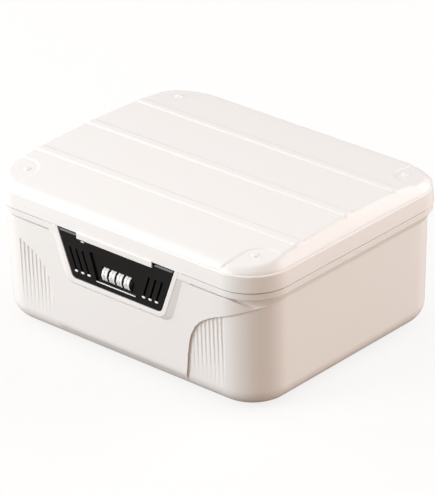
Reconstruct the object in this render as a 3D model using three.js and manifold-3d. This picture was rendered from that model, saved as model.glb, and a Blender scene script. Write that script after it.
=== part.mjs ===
import * as THREE from 'three';
import { mergeVertices } from 'three/addons/utils/BufferGeometryUtils.js';
import loadManifold from 'manifold-3d';

// A lockable medication box: a tub, a hinged lid and a four-dial press latch in the front.
// Lengths are in millimetres. X runs right along the front, Y to the back and Z up.
// Heights are measured from the underside of the tub; the feet lift the whole box at the end.

const wasm = await loadManifold();
wasm.setup();

// Overall sizes
const lidWidth = 260;
const lidDepth = 211.5;
const lidCornerRadius = 32.6;
const seamHeight = 92.9;

// Clearances and cutter overrun
const seamGap = 0.3;
const seatGap = 0.3;
const fitGap = 0.35;
const pinGap = 0.15;
const overrun = 1;

// Tub
const wallInsetLow = 5.1;
const wallInsetHigh = 3.7;
const bodyCornerRadius = 31.2;
const bottomFillet = 14.4;
const wallThickness = 2.5;
const floorThickness = 2.5;
const creaseProud = 0.5;
const creaseRise = 0.5;
const flareTopInset = 1.6;
const bandHeight = 5.3;
const flareHeight = 5.7;
const grooveInset = 3.2;
const grooveLedge = 0.3;
const bandInset = 0.7;
const lipInset = 3.5;
const lipHeight = 4.1;
const lipRoot = 1;

// Front shield and the fluted recesses beside it
const shieldProud = 1.6;
const shieldStep = 0.5;
const shieldTopGap = 0.9;
const fluteCount = 8;
const fluteStart = 67.4;
const flutePitch = 3.9;
const fluteWidth = 1.5;
const fluteFoot = 22;
const fluteTopMargin = 1;

// Lid
const lidWall = 2.4;
const skirtHeight = 11.9;
const skirtInset = 1;
const rollHeight = 5;
const panelInset = 9.2;
const lidTopThickness = 2.5;
const crownHeight = 5.5;
const panelRaise = 0.7;
const panelRoot = 1.2;
const panelEndInset = 8.7;
const ribSpacing = 52.7;
const ribHalfWidth = 4.6;
const ribEdge = 2.2;
const ribHeight = 0.75;
const notchRadius = 14.3;
const notchInsetX = 17;
const notchInsetY = 21.75;
const notchTurn = 4;
const pipRadius = 2.7;
const pipInsetX = 23;
const pipInsetY = 25.5;
const pipHeight = 0.9;

// Lid tab and its hooks
const tabEndInset = 19;
const tabDrop = 4;
const tabProud = 0.95;
const tabRise = 1;
const hookEndInset = 4.5;
const hookHalfWidth = 1.8;
const hookHeight = 2;
const hookReach = 1;

// Hinges
const hingeSpacing = 75;
const hingeDrop = 6.5;
const knuckleRadius = 2.7;
const lidKnuckleWidth = 12;
const baseKnuckleWidth = 8;
const knuckleGap = 0.4;
const hingePinRadius = 1.2;
const armThickness = 3;

// Lock plate
const plateTopHalf = 54.5;
const plateTaper = 13.2;
const plateTopDrop = 1.5;
const plateHeight = 35.1;
const plateThickness = 2.6;
const plateRecess = 0.1;
const plateBottomRadius = 4.5;
const plateTopRadius = 0.8;
const bossBorder = 4;
const bossProud = 0.15;
const bossSlopeSide = 9.6;
const bossSlopeBottom = 3.2;
const bossDepth = 3.2;
const pocketTopHalf = 25;
const pocketBottomHalf = 18.6;
const pocketRise = 4.5;
const pocketHeight = 21;
const pocketDepth = 1.5;
const slotCount = 3;
const slotWidth = 1.9;
const slotRise = 3.2;
const slotHeight = 15.2;
const slotPitch = 6;
const slotMargin = 6.4;
const slotLean = 5.4;

// Latch pivot and return springs
const pivotDrop = 3.7;
const pivotDepth = 3.4;
const pivotPinRadius = 1;
const lugEndInset = 5.3;
const lugWidth = 3;
const lugRadius = 2.1;
const earWidth = 2.6;
const earFoot = 4.1;
const springMargin = 6.07;
const springDrop = 6.9;
const springRadius = 2.6;
const springWire = 0.35;
const springTurns = 5;
const pegRadius = 1.5;
const pegLength = 1.5;

// Dials
const wheelCount = 4;
const wheelPitch = 6.94;
const wheelWidth = 5.4;
const wheelRadius = 6;
const wheelRise = 11;
const wheelSink = 3.4;
const wheelChamfer = 0.35;
const wheelFlutes = 10;
const fluteSink = 0.3;
const shaftRadius = 1.1;
const bushRadius = 2.4;
const discRadius = 4.8;
const discThickness = 0.67;
const gateWidth = 2;
const gateDepth = 1.4;
const clipRadius = 1.9;
const clipThickness = 0.8;

// Dial carrier
const cheekSpacing = 16.6;
const cheekThickness = 2;
const cheekClearance = 0.5;
const cheekHeadroom = 0.1;
const flangeTopDrop = 3.2;
const flangeWidth = 8;
const flangeThickness = 2;
const flangeFootRise = 0.6;
const flangeScrewTop = 2.6;
const flangeScrewFoot = 1.35;
const trayThickness = 2;
const barDepth = 1.8;
const barHeight = 3;
const detentThickness = 0.4;
const fingerWidth = 2.6;
const fingerDrop = 3.7;

// Inner cover, comb and code change button
const coverBorder = 7;
const carrierSwing = 3;
const coverWall = 2;
const coverTopGap = 1;
const earTabWidth = 12;
const earTabHeight = 9;
const screwTopDrop = 7.4;
const screwTopMargin = 13.5;
const screwBottomDrop = 2.3;
const screwBottomMargin = 11.7;
const combHalfWidth = 15.6;
const combDrop = 5.7;
const combRise = 5.8;
const combThickness = 1.3;
const toothHalfHeight = 2.2;
const toothStandOff = 1.2;
const combScrewSpacing = 12;
const combScrewDrop = 3.4;
const buttonEndInset = 5.3;
const buttonRise = 0.3;
const buttonHeadRadius = 4;
const buttonHeadLength = 2;
const buttonStandOff = 4.6;
const buttonStemRadius = 2;
const buttonStemLength = 8;
const collarRadius = 3.6;
const collarLength = 1;
const buttonSpringRadius = 3.1;
const buttonSpringWire = 0.3;
const buttonSpringTurns = 3;

// Screws and feet
const screwRadius = 1.25;
const screwHeadRadius = 2.6;
const screwHeadHeight = 1.8;
const screwBite = 2.6;
const smallScrewRadius = 0.9;
const smallHeadRadius = 1.7;
const smallHeadHeight = 1.2;
const smallScrewBite = 1.6;
const smallCombBite = 1;
const footRadius = 7;
const footStand = 1.2;
const footSink = 0.7;
const footOffsetX = 92;
const footOffsetY = 68;

// Facet counts
const cornerSteps = 10;
const filletSteps = 4;
const creaseSteps = 24;
const sideSteps = 8;
const roundSteps = 20;
const tinySteps = 12;
const hexSides = 6;
const wireSides = 5;
const turnSteps = 8;
const arcSteps = 4;

// The crease under the flare, unrolled: share of the way from the end of the front fillet round to
// the middle of the corner's far end, and share of the crease's full height.
const creaseShares = [
  [0.4288, 0.186], [0.4379, 0.348], [0.4539, 0.522], [0.486, 0.65], [0.5279, 0.734], [0.5985, 0.811],
  [0.6578, 0.854], [0.7374, 0.907], [0.8128, 0.95], [0.8869, 0.978], [1, 1],
];

// The lid's shoulder, ledge and roll, as shares of the way in, of the roll's height and of the crown
const rollShares = [
  [0.11, 0.05, 0.02], [0.2, 0.08, 0.05], [0.26, 0.16, 0.09], [0.35, 0.37, 0.22], [0.5, 0.68, 0.52],
  [0.72, 0.91, 0.82], [1, 1, 1],
];

// The dome of a pip, as shares of its radius and of its height
const pipShares = [[1, 0.33], [0.67, 0.83], [0, 1]];

// Where the wedge between the shield and the band narrows, and how the shield's step fades
const wedgeStartShare = 0.677;
const junctionShare = 0.82;
const wedgePowerShare = 2.2;
const proudFadeShare = 0.58;

const halfWidth = lidWidth / 2;
const halfDepth = lidDepth / 2;
const rimTop = seamHeight - seamGap;
const plateBottomHalf = plateTopHalf - plateTaper;
const tabHalfWidth = plateTopHalf - tabEndInset;
const hookSpacing = tabHalfWidth - hookEndInset;
const lugSpacing = plateBottomHalf - lugEndInset;
const screwTopSpacing = plateTopHalf + screwTopMargin;
const screwBottomSpacing = plateBottomHalf + screwBottomMargin;
const buttonOffset = plateBottomHalf - buttonEndInset;
const slotFirst = pocketTopHalf + slotMargin;
const cheekOuter = cheekSpacing + cheekThickness;
const flangeOuter = cheekOuter + flangeWidth * 2 / 3;
const springSpacing = flangeOuter + springMargin;
const bandFoot = rimTop - bandHeight;
const creaseHeight = bandFoot - flareHeight;
const plateTop = seamHeight - plateTopDrop;
const plateBottom = plateTop - plateHeight;
const pocketBottom = plateBottom + pocketRise;
const pocketTop = pocketBottom + pocketHeight;
const slotBottom = pocketBottom + slotRise;
const slotTop = slotBottom + slotHeight;
const springHeight = plateTop - springDrop;
const screwTopHeight = plateTop - screwTopDrop;
const screwBottomHeight = plateBottom - screwBottomDrop;
const wheelHeight = plateBottom + wheelRise;
const combScrewHeight = wheelHeight - combScrewDrop;
const buttonHeight = wheelHeight + buttonRise;
const cheekFoot = wheelHeight - wheelRadius - cheekClearance - trayThickness;
const cheekTop = wheelHeight + wheelRadius + cheekHeadroom + barHeight;
const flangeTop = plateTop - flangeTopDrop;
const flangeFoot = plateBottom + flangeFootRise;
const bossFace = -(halfDepth - bandInset + bossProud);
const plateFace = bossFace + plateRecess;
const plateBack = plateFace + plateThickness;
const pivotY = plateBack + pivotDepth;
const pivotZ = plateBottom + pivotDrop;
const wheelY = plateFace + pocketDepth + wheelSink;
const detentFront = wheelY + wheelRadius + seatGap;
const detentBack = detentFront + detentThickness;
const barFront = detentBack + seatGap;
const carrierBack = barFront + barDepth;
const coverInner = carrierBack + carrierSwing;
const coverBack = coverInner + coverWall;
const hingeY = halfDepth + tabProud - knuckleRadius;
const hingeZ = seamHeight - hingeDrop;

// Solids

/** Turns a closed geometry into a solid that can be cut and joined. */
function solid(geometry) {
  const bare = geometry.index ? geometry.toNonIndexed() : geometry.clone();
  for (const name of Object.keys(bare.attributes)) if (name !== 'position') bare.deleteAttribute(name);
  const merged = mergeVertices(bare);
  return new wasm.Manifold(new wasm.Mesh({
    numProp: 3,
    vertProperties: new Float32Array(merged.attributes.position.array),
    triVerts: new Uint32Array(merged.index.array),
  }));
}

/** Turns a solid back into a geometry with flat faces. */
function geometryOf(body) {
  const mesh = body.getMesh();
  const geometry = new THREE.BufferGeometry();
  geometry.setAttribute('position', new THREE.BufferAttribute(mesh.vertProperties, 3));
  geometry.setIndex(new THREE.BufferAttribute(mesh.triVerts, 1));
  const flat = geometry.toNonIndexed();
  flat.computeVertexNormals();
  return flat;
}

/** Two ends of a reach in rising order. */
function ordered(a, b) {
  return [Math.min(a, b), Math.max(a, b)];
}

function join(...bodies) {
  return bodies.reduce((sum, body) => sum.add(body));
}

function cut(body, ...cutters) {
  return cutters.reduce((rest, cutter) => rest.subtract(cutter), body);
}

function boxSolid([x0, x1], [y0, y1], [z0, z1]) {
  const box = new THREE.BoxGeometry(x1 - x0, y1 - y0, z1 - z0);
  return solid(box.translate((x0 + x1) / 2, (y0 + y1) / 2, (z0 + z1) / 2));
}

function rodX(radius, [x0, x1], y, z, steps = roundSteps) {
  const rod = new THREE.CylinderGeometry(radius, radius, x1 - x0, steps);
  return solid(rod.rotateZ(Math.PI / 2).translate((x0 + x1) / 2, y, z));
}

function rodY(radius, x, [y0, y1], z, steps = tinySteps) {
  const rod = new THREE.CylinderGeometry(radius, radius, y1 - y0, steps);
  return solid(rod.translate(x, (y0 + y1) / 2, z));
}

function rodZ(radius, x, y, [z0, z1], steps = roundSteps) {
  const rod = new THREE.CylinderGeometry(radius, radius, z1 - z0, steps);
  return solid(rod.rotateX(Math.PI / 2).translate(x, y, (z0 + z1) / 2));
}

/** Extrudes an outline of [x, z] points along Y. */
function prismY(points, y0, y1) {
  const shape = new THREE.Shape(points.map(([x, z]) => new THREE.Vector2(x, z)));
  const prism = new THREE.ExtrudeGeometry(shape, { depth: y1 - y0, bevelEnabled: false });
  return solid(prism.rotateX(Math.PI / 2).translate(0, y1, 0));
}

/** Extrudes an outline of [y, z] points along X. */
function prismX(points, x0, x1) {
  const shape = new THREE.Shape(points.map(([y, z]) => new THREE.Vector2(y, z)));
  const prism = new THREE.ExtrudeGeometry(shape, { depth: x1 - x0, bevelEnabled: false });
  const turn = new THREE.Matrix4().makeBasis(
    new THREE.Vector3(0, 1, 0), new THREE.Vector3(0, 0, 1), new THREE.Vector3(1, 0, 0));
  return solid(prism.applyMatrix4(turn).translate(x0, 0, 0));
}

/** Extrudes an outline of [x, y] points along Z. */
function prismZ(points, z0, z1) {
  const shape = new THREE.Shape(points.map(([x, y]) => new THREE.Vector2(x, y)));
  const prism = new THREE.ExtrudeGeometry(shape, { depth: z1 - z0, bevelEnabled: false });
  return solid(prism.translate(0, 0, z0));
}

/**
 * Skins a stack of rings with equal point counts. The first and last ring are closed by a fan
 * from their middle, or by strips from the right half of the ring to its mirrored left half.
 */
function loft(rings, capStyle) {
  const count = rings[0].length;
  const positions = rings.flat(2);
  const index = [];
  for (let r = 0; r + 1 < rings.length; r += 1) {
    for (let i = 0; i < count; i += 1) {
      const j = (i + 1) % count;
      const [a, b, c, d] = [r * count + i, r * count + j, (r + 1) * count + j, (r + 1) * count + i];
      index.push(a, b, c, a, c, d);
    }
  }
  const caps = [[0, true], [(rings.length - 1) * count, false]];
  for (const [start, flip] of caps) {
    const face = (a, b, c) => index.push(...(flip ? [a, c, b] : [a, b, c]));
    if (capStyle === 'fan') {
      const middle = positions.length / 3;
      const centre = [0, 0, 0];
      for (let i = 0; i < count; i += 1) {
        for (let k = 0; k < 3; k += 1) centre[k] += positions[(start + i) * 3 + k] / count;
      }
      positions.push(...centre);
      for (let i = 0; i < count; i += 1) face(middle, start + i, start + ((i + 1) % count));
    } else {
      for (let i = 0; i + 1 < count / 2; i += 1) {
        const [a, b, c, d] = [i, i + 1, count - 2 - i, count - 1 - i].map((k) => start + k);
        face(a, b, c);
        face(a, c, d);
      }
    }
  }
  const geometry = new THREE.BufferGeometry();
  geometry.setAttribute('position', new THREE.Float32BufferAttribute(positions, 3));
  geometry.setIndex(index);
  return geometry;
}

/** A helical spring along Y, from y0 to y1, as one tube with closed ends. */
function springGeometry(radius, wire, turns, y0, y1) {
  class Helix extends THREE.Curve {
    getPoint(t) {
      const angle = t * turns * Math.PI * 2;
      const y = y0 + wire + (y1 - y0 - 2 * wire) * t;
      return new THREE.Vector3(radius * Math.cos(angle), y, radius * Math.sin(angle));
    }
  }
  const section = new THREE.EllipseCurve(0, 0, wire, wire).getPoints(wireSides).slice(0, wireSides);
  return new THREE.ExtrudeGeometry(new THREE.Shape(section), {
    steps: turns * turnSteps, extrudePath: new Helix(), bevelEnabled: false,
  });
}

// Plan outlines

/** Half of the places round a rounded rectangle, from the front's middle to the back's middle. */
function plainStations() {
  const stations = [];
  for (let i = 0; i <= cornerSteps; i += 1) stations.push({ part: 'frontCorner', share: i / cornerSteps });
  for (let i = 1; i < sideSteps; i += 1) stations.push({ part: 'side', share: i / sideSteps });
  for (let i = 0; i <= cornerSteps; i += 1) stations.push({ part: 'backCorner', share: i / cornerSteps });
  return stations;
}

function stationPoint(station, inset, radius) {
  const hx = halfWidth - inset;
  const hy = halfDepth - inset;
  const cx = hx - radius;
  const cy = hy - radius;
  const angle = station.share * Math.PI / 2;
  switch (station.part) {
    case 'front': return [cx * station.share, -hy];
    case 'frontCorner': return [cx + radius * Math.sin(angle), -cy - radius * Math.cos(angle)];
    case 'side': return [hx, cy * (2 * station.share - 1)];
    default: return [cx + radius * Math.cos(angle), cy + radius * Math.sin(angle)];
  }
}

/** A full ring: the right half from front to back, then its mirror image from back to front. */
function ring(stations, place) {
  const right = stations.map((station) => {
    const { inset, radius, height, rise } = place(station);
    const [x, y] = stationPoint(station, inset, radius);
    return [x, y, height + (rise ? rise(y) : 0)];
  });
  return [...right, ...right.map(([x, y, z]) => [-x, y, z]).reverse()];
}

function smooth(value) {
  const t = Math.min(Math.max(value, 0), 1);
  return t * t * (3 - 2 * t);
}

/** How far the tub's plain wall lies inside the lid's outline at a height. */
function wallInset(z) {
  return wallInsetLow + (wallInsetHigh - wallInsetLow) * z / creaseHeight;
}

// The crease, unrolled along the front and round the corner

const creaseInset = wallInset(creaseHeight);
const frontRun = halfWidth - creaseInset - bodyCornerRadius;
const unrolledRun = frontRun + bodyCornerRadius * Math.PI / 2;
const creaseCurve = new THREE.SplineCurve(
  creaseShares.map(([along, up]) => new THREE.Vector2(along * unrolledRun, up * creaseHeight)));
const creasePoints = creaseCurve.getSpacedPoints(creaseSteps);

function creaseHeightAt(along) {
  const k = creasePoints.findIndex((point) => point.x > along);
  if (k < 0) return creaseHeight;
  if (k === 0) return creasePoints[0].y;
  const [a, b] = [creasePoints[k - 1], creasePoints[k]];
  return a.y + (b.y - a.y) * (along - a.x) / (b.x - a.x);
}

/** The places round the tub, closer together where the crease sweeps down the front. */
function tubStations() {
  const stations = [];
  const shieldEdge = creasePoints[0].x;
  const shieldFoot = creasePoints[0].y;
  const add = (along, crease, shield) => {
    const place = along <= frontRun
      ? { part: 'front', share: along / frontRun }
      : { part: 'frontCorner', share: Math.min((along - frontRun) / (bodyCornerRadius * Math.PI / 2), 1) };
    stations.push({ ...place, along, crease, shield });
  };
  add(shieldEdge - shieldStep, shieldFoot, true);
  for (const point of creasePoints) add(point.x, point.y, false);
  for (let i = 1; i < sideSteps; i += 1) {
    stations.push({ part: 'side', share: i / sideSteps, along: unrolledRun, crease: creaseHeight });
  }
  for (let i = 0; i <= cornerSteps; i += 1) {
    stations.push({ part: 'backCorner', share: i / cornerSteps, along: unrolledRun, crease: creaseHeight });
  }
  return stations;
}

/** How far the shield stands proud of the plain wall; it fades to the crease's own small step. */
function proudAt(station) {
  const share = station.along / unrolledRun;
  const fade = smooth((share - proudFadeShare) / (junctionShare - proudFadeShare));
  return shieldProud + (creaseProud - shieldProud) * fade;
}

/** The height where the upright shield gives way to the flare. */
function shieldTopAt(station) {
  const share = station.along / unrolledRun;
  const top = bandFoot - shieldTopGap;
  const least = station.crease + creaseRise + creaseRise;
  const run = Math.min(Math.max((share - wedgeStartShare) / (junctionShare - wedgeStartShare), 0), 1);
  return Math.max(top + (least - top) * run ** wedgePowerShare, least);
}

/** How far in the flare's upper edge lies: deep behind the shield, shallow on the sides. */
function flareInsetAt(station) {
  const share = station.along / unrolledRun;
  const fade = smooth((share - wedgeStartShare) / (1 - wedgeStartShare));
  return grooveInset + (flareTopInset - grooveInset) * fade;
}

// Tub

function tubOutside() {
  const stations = tubStations();
  const rings = [];
  for (let i = 0; i <= filletSteps; i += 1) {
    const angle = i / filletSteps * Math.PI / 2;
    const height = bottomFillet * (1 - Math.cos(angle));
    const back = bottomFillet * (1 - Math.sin(angle));
    const fade = smooth(height / bottomFillet * 2 - 1);
    rings.push(ring(stations, (station) => ({
      inset: wallInset(height) + back - (station.shield ? shieldProud * fade : 0),
      radius: bodyCornerRadius - back,
      height,
    })));
  }
  rings.push(ring(stations, (station) => ({
    inset: wallInset(station.crease) - (station.shield ? shieldProud : 0),
    radius: bodyCornerRadius,
    height: station.crease,
  })));
  rings.push(ring(stations, (station) => ({
    inset: wallInset(station.crease) - proudAt(station),
    radius: bodyCornerRadius,
    height: station.crease + creaseRise,
  })));
  rings.push(ring(stations, (station) => {
    const height = shieldTopAt(station);
    return { inset: wallInset(height) - proudAt(station), radius: bodyCornerRadius, height };
  }));
  rings.push(ring(stations, (station) => {
    const top = shieldTopAt(station);
    const ledge = wallInset(top) - proudAt(station) + grooveLedge;
    return {
      inset: Math.max(flareInsetAt(station), ledge),
      radius: bodyCornerRadius,
      height: top + grooveLedge / 2,
    };
  }));
  rings.push(ring(stations, (station) => ({
    inset: flareInsetAt(station), radius: lidCornerRadius - flareTopInset, height: bandFoot,
  })));
  rings.push(ring(stations, () => ({
    inset: bandInset, radius: lidCornerRadius - bandInset, height: bandFoot,
  })));
  rings.push(ring(stations, () => ({
    inset: bandInset, radius: lidCornerRadius - bandInset, height: rimTop,
  })));
  return solid(loft(rings, 'fan'));
}

function tubCavity() {
  const stations = plainStations();
  const fillet = bottomFillet - wallThickness;
  const rings = [];
  for (let i = 0; i <= filletSteps; i += 1) {
    const angle = i / filletSteps * Math.PI / 2;
    const height = floorThickness + fillet * (1 - Math.cos(angle));
    const back = fillet * (1 - Math.sin(angle));
    rings.push(ring(stations, () => ({
      inset: wallInset(height) + wallThickness + back,
      radius: bodyCornerRadius - wallThickness - back,
      height,
    })));
  }
  const top = rimTop + lipHeight + overrun;
  rings.push(ring(stations, () => ({
    inset: wallInset(top) + wallThickness, radius: bodyCornerRadius - wallThickness, height: top,
  })));
  return solid(loft(rings, 'fan'));
}

function rimLip() {
  const stations = plainStations();
  const rings = [rimTop - lipRoot, rimTop + lipHeight].map((height) => ring(stations, () => ({
    inset: lipInset, radius: lidCornerRadius - lipInset, height,
  })));
  return solid(loft(rings, 'fan'));
}

// Trapezoid outlines of the latch, wide at the top

/** Points of a trapezoid with rounded corners, anticlockwise from the top right. */
function trapezoid({ topHalf, bottomHalf, top, bottom, topRadius, bottomRadius }) {
  const corners = [
    [topHalf, top, topRadius], [-topHalf, top, topRadius],
    [-bottomHalf, bottom, bottomRadius], [bottomHalf, bottom, bottomRadius],
  ];
  return corners.flatMap(([x, z, radius], k) => {
    const [px, pz] = corners[(k + 3) % 4];
    const [nx, nz] = corners[(k + 1) % 4];
    const corner = new THREE.Vector2(x, z);
    const back = new THREE.Vector2(px, pz).sub(corner).normalize();
    const forth = new THREE.Vector2(nx, nz).sub(corner).normalize();
    const half = Math.acos(back.dot(forth)) / 2;
    const centre = back.clone().add(forth).normalize().multiplyScalar(radius / Math.sin(half)).add(corner);
    const start = back.clone().multiplyScalar(radius / Math.tan(half)).add(corner).sub(centre);
    const sweep = Math.PI - 2 * half;
    return Array.from({ length: arcSteps + 1 }, (_, i) => {
      const point = start.clone().rotateAround(new THREE.Vector2(), sweep * i / arcSteps).add(centre);
      return [point.x, point.y];
    });
  });
}

const plateSides = {
  topHalf: plateTopHalf, bottomHalf: plateBottomHalf, top: plateTop, bottom: plateBottom,
  topRadius: plateTopRadius, bottomRadius: plateBottomRadius,
};
const sideSlope = (plateTopHalf - plateBottomHalf) / (plateTop - plateBottom);
const sideStretch = Math.hypot(1, sideSlope);

/** The plate's outline moved outward, and its top edge set to a height. */
function grown(sideways, down, top) {
  const bottom = plateBottom - down;
  const halfAt = (z) => plateBottomHalf + (z - plateBottom) * sideSlope + sideways * sideStretch;
  return {
    topHalf: halfAt(top), bottomHalf: halfAt(bottom), top, bottom,
    topRadius: plateTopRadius, bottomRadius: plateBottomRadius + down,
  };
}

function bossSolid() {
  const face = trapezoid(grown(bossBorder, bossBorder, rimTop));
  const foot = trapezoid(grown(bossBorder + bossSlopeSide, bossBorder + bossSlopeBottom, rimTop));
  const root = bossFace + bossDepth + overrun;
  const level = (points, y) => points.map(([x, z]) => [x, y, z]);
  return solid(loft([level(foot, root), level(foot, bossFace + bossDepth), level(face, bossFace)], 'fan'));
}

function latchOpening() {
  const wallBack = -(halfDepth - wallInset(plateBottom) - wallThickness);
  const lipFront = -(halfDepth - lipInset);
  const through = trapezoid(grown(fitGap, fitGap, rimTop - seamGap));
  const front = trapezoid(grown(fitGap, fitGap, rimTop + overrun));
  return join(
    prismY(through, bossFace - overrun, wallBack + overrun),
    prismY(front, bossFace - overrun, lipFront - pinGap),
  );
}

function latchEars() {
  const ears = [];
  const reach = lugWidth / 2 + fitGap;
  for (const side of [-1, 1]) {
    for (const away of [-1, 1]) {
      const inner = side * lugSpacing + away * reach;
      const outer = side * lugSpacing + away * (reach + earWidth);
      ears.push(boxSolid(
        ordered(inner, outer),
        [pivotY - lugRadius, pivotY + lugRadius],
        [plateBottom - earFoot, pivotZ + lugRadius],
      ));
    }
  }
  return ears;
}

/** The two stretches that hold a hinge pin, either side of the lid's knuckle. */
function baseKnuckleSpans(side) {
  const near = lidKnuckleWidth / 2 + knuckleGap;
  const far = near + baseKnuckleWidth;
  const middle = side * hingeSpacing;
  return [[middle - far, middle - near], [middle + near, middle + far]];
}

function flutes() {
  const cutters = [];
  const back = -(halfDepth - wallInset(fluteFoot));
  for (const side of [-1, 1]) {
    for (let i = 0; i < fluteCount; i += 1) {
      const x = fluteStart + i * flutePitch;
      const top = creaseHeightAt(x - fluteWidth / 2) - fluteTopMargin;
      const left = side * x - fluteWidth / 2;
      const depth = [-halfDepth - overrun, back];
      cutters.push(boxSolid([left, left + fluteWidth], depth, [fluteFoot - overrun, top]));
    }
  }
  return cutters;
}

const wallFrontAt = (z) => -(halfDepth - wallInset(z) - wallThickness);
const coverFront = wallFrontAt(plateBottom) + seatGap;
const coverScrews = [-1, 1].flatMap((side) => [
  [side * screwTopSpacing, screwTopHeight], [side * screwBottomSpacing, screwBottomHeight],
]);

function baseShell() {
  let body = join(tubOutside(), rimLip(), bossSolid());
  body = cut(body, tubCavity(), ...flutes());
  body = cut(body, latchOpening());
  body = join(body, ...latchEars());
  for (const side of [-1, 1]) {
    const span = lidKnuckleWidth / 2 + knuckleGap;
    const hingeX = [side * hingeSpacing - span, side * hingeSpacing + span];
    const knuckles = baseKnuckleSpans(side).map((reach) => rodX(knuckleRadius, reach, hingeY, hingeZ));
    const armFace = halfDepth - armThickness - fitGap;
    body = cut(
      join(body, ...knuckles),
      rodX(knuckleRadius + knuckleGap, hingeX, hingeY, hingeZ),
      boxSolid(hingeX, [armFace, halfDepth + overrun], [hingeZ, rimTop + overrun]),
      rodX(hingePinRadius + pinGap, [
        side * hingeSpacing - span - baseKnuckleWidth - overrun,
        side * hingeSpacing + span + baseKnuckleWidth + overrun,
      ], hingeY, hingeZ),
    );
    body = cut(body, rodX(pivotPinRadius + pinGap, [
      side * lugSpacing - lugWidth / 2 - fitGap - earWidth - overrun,
      side * lugSpacing + lugWidth / 2 + fitGap + earWidth + overrun,
    ], pivotY, pivotZ, tinySteps));
  }
  for (const [x, z] of coverScrews) {
    const wall = wallFrontAt(z);
    body = cut(body, rodY(screwRadius + pinGap, x, [wall - screwBite - seatGap, wall + overrun], z));
  }
  for (const [x, y] of footPlaces()) {
    body = cut(body, rodZ(footRadius + seatGap, x, y, [-overrun, footSink + seatGap]));
  }
  return geometryOf(body);
}

function footPlaces() {
  return [-1, 1].flatMap((sx) => [-1, 1].map((sy) => [sx * footOffsetX, sy * footOffsetY]));
}

function rubberFoot() {
  return geometryOf(rodZ(footRadius, 0, 0, [-footStand, footSink]));
}

// Lid

const crownHalf = halfDepth - panelInset;
const topEdge = seamHeight + skirtHeight + rollHeight;

function crown(y) {
  return Math.max(crownHeight * (1 - (y / crownHalf) ** 2), 0);
}

function lidBody() {
  const stations = plainStations();
  const step = (inset, height, crownShare) => ring(stations, () => ({
    inset, radius: lidCornerRadius - inset, height, rise: (y) => crown(y) * crownShare,
  }));
  const [inner, under] = [lidWall + skirtInset, topEdge - lidTopThickness];
  const skirtTop = seamHeight + skirtHeight;
  const outside = rollShares.map(([inShare, upShare, crownShare]) => step(
    skirtInset + (panelInset - skirtInset) * inShare, skirtTop + rollHeight * upShare, crownShare));
  return solid(loft([
    step(panelInset + lidTopThickness, under, 1),
    step((inner + panelInset) / 2, under - lidTopThickness / 2, 1 / 2),
    step(inner, skirtTop - lidTopThickness, 0),
    step(lidWall, seamHeight, 0),
    step(0, seamHeight, 0),
    step(skirtInset, skirtTop, 0),
    ...outside,
  ], 'strips'));
}

/** Height of the raised panel: the lid's top edge, the crown and the three flat-topped cross ribs. */
function panelHeight(y) {
  const away = Math.min(...[-1, 0, 1].map((k) => Math.abs(y - k * ribSpacing)));
  return topEdge + crown(y) + panelRaise + ribHeight * smooth((ribHalfWidth - away) / ribEdge);
}

/** The panel's outline: a rectangle with an S-shaped bite round each corner's pip. */
function panelOutline() {
  const [hx, hy] = [halfWidth - panelEndInset, crownHalf];
  const [cx, cy] = [halfWidth - notchInsetX, halfDepth - notchInsetY];
  const arc = (x, y, radius, start, steps) => Array.from({ length: steps + 1 }, (_, i) => {
    const angle = start + Math.sign(radius) * Math.PI / 2 * i / steps;
    return [x + Math.abs(radius) * Math.cos(angle), y + Math.abs(radius) * Math.sin(angle)];
  });
  const corner = [
    ...arc(hx - notchTurn, cy - notchRadius - notchTurn, notchTurn, 0, arcSteps),
    ...arc(cx, cy, -notchRadius, -Math.PI / 2, cornerSteps),
    ...arc(cx - notchRadius - notchTurn, hy - notchTurn, notchTurn, 0, arcSteps),
  ];
  const mirrored = (sx, sy) => corner.map(([x, y]) => [sx * x, sy * y]);
  return [...corner, ...mirrored(-1, 1).reverse(), ...mirrored(-1, -1), ...mirrored(1, -1).reverse()];
}

function lidPanel() {
  const heights = new Set();
  for (let i = -sideSteps; i <= sideSteps; i += 1) heights.add(crownHalf * i / sideSteps);
  for (const k of [-1, 0, 1]) {
    for (let i = 0; i <= arcSteps; i += 1) {
      const away = ribHalfWidth - ribEdge * i / arcSteps;
      heights.add(k * ribSpacing - away).add(k * ribSpacing + away);
    }
  }
  const ys = [...heights].sort((a, b) => a - b).filter((y, i, all) => i === 0 || y - all[i - 1] > pinGap);
  const over = ys.map((y) => [y, panelHeight(y)]);
  const under = ys.map((y) => [y, topEdge + crown(y) - panelRoot]).reverse();
  const reach = halfWidth - panelEndInset + overrun;
  const slab = prismX([...over, ...under], -reach, reach);
  return slab.intersect(prismZ(panelOutline(), seamHeight, topEdge + crownHeight + lipHeight));
}

function pips() {
  return [-1, 1].flatMap((sx) => [-1, 1].map((sy) => {
    const [x, y] = [sx * (halfWidth - pipInsetX), sy * (halfDepth - pipInsetY)];
    const dome = pipShares.map(([out, up]) => [pipRadius * out, pipHeight * up]);
    const profile = [[0, -panelRoot], [pipRadius, -panelRoot], ...dome];
    const outline = profile.map(([r, z]) => new THREE.Vector2(r, z));
    return solid(new THREE.LatheGeometry(outline, tinySteps).rotateX(Math.PI / 2)
      .translate(x, y, topEdge + crown(y)));
  }));
}

const tabFace = -(halfDepth + tabProud);
const tabBack = plateFace - fitGap;
const tabFoot = seamHeight - tabDrop;

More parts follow.
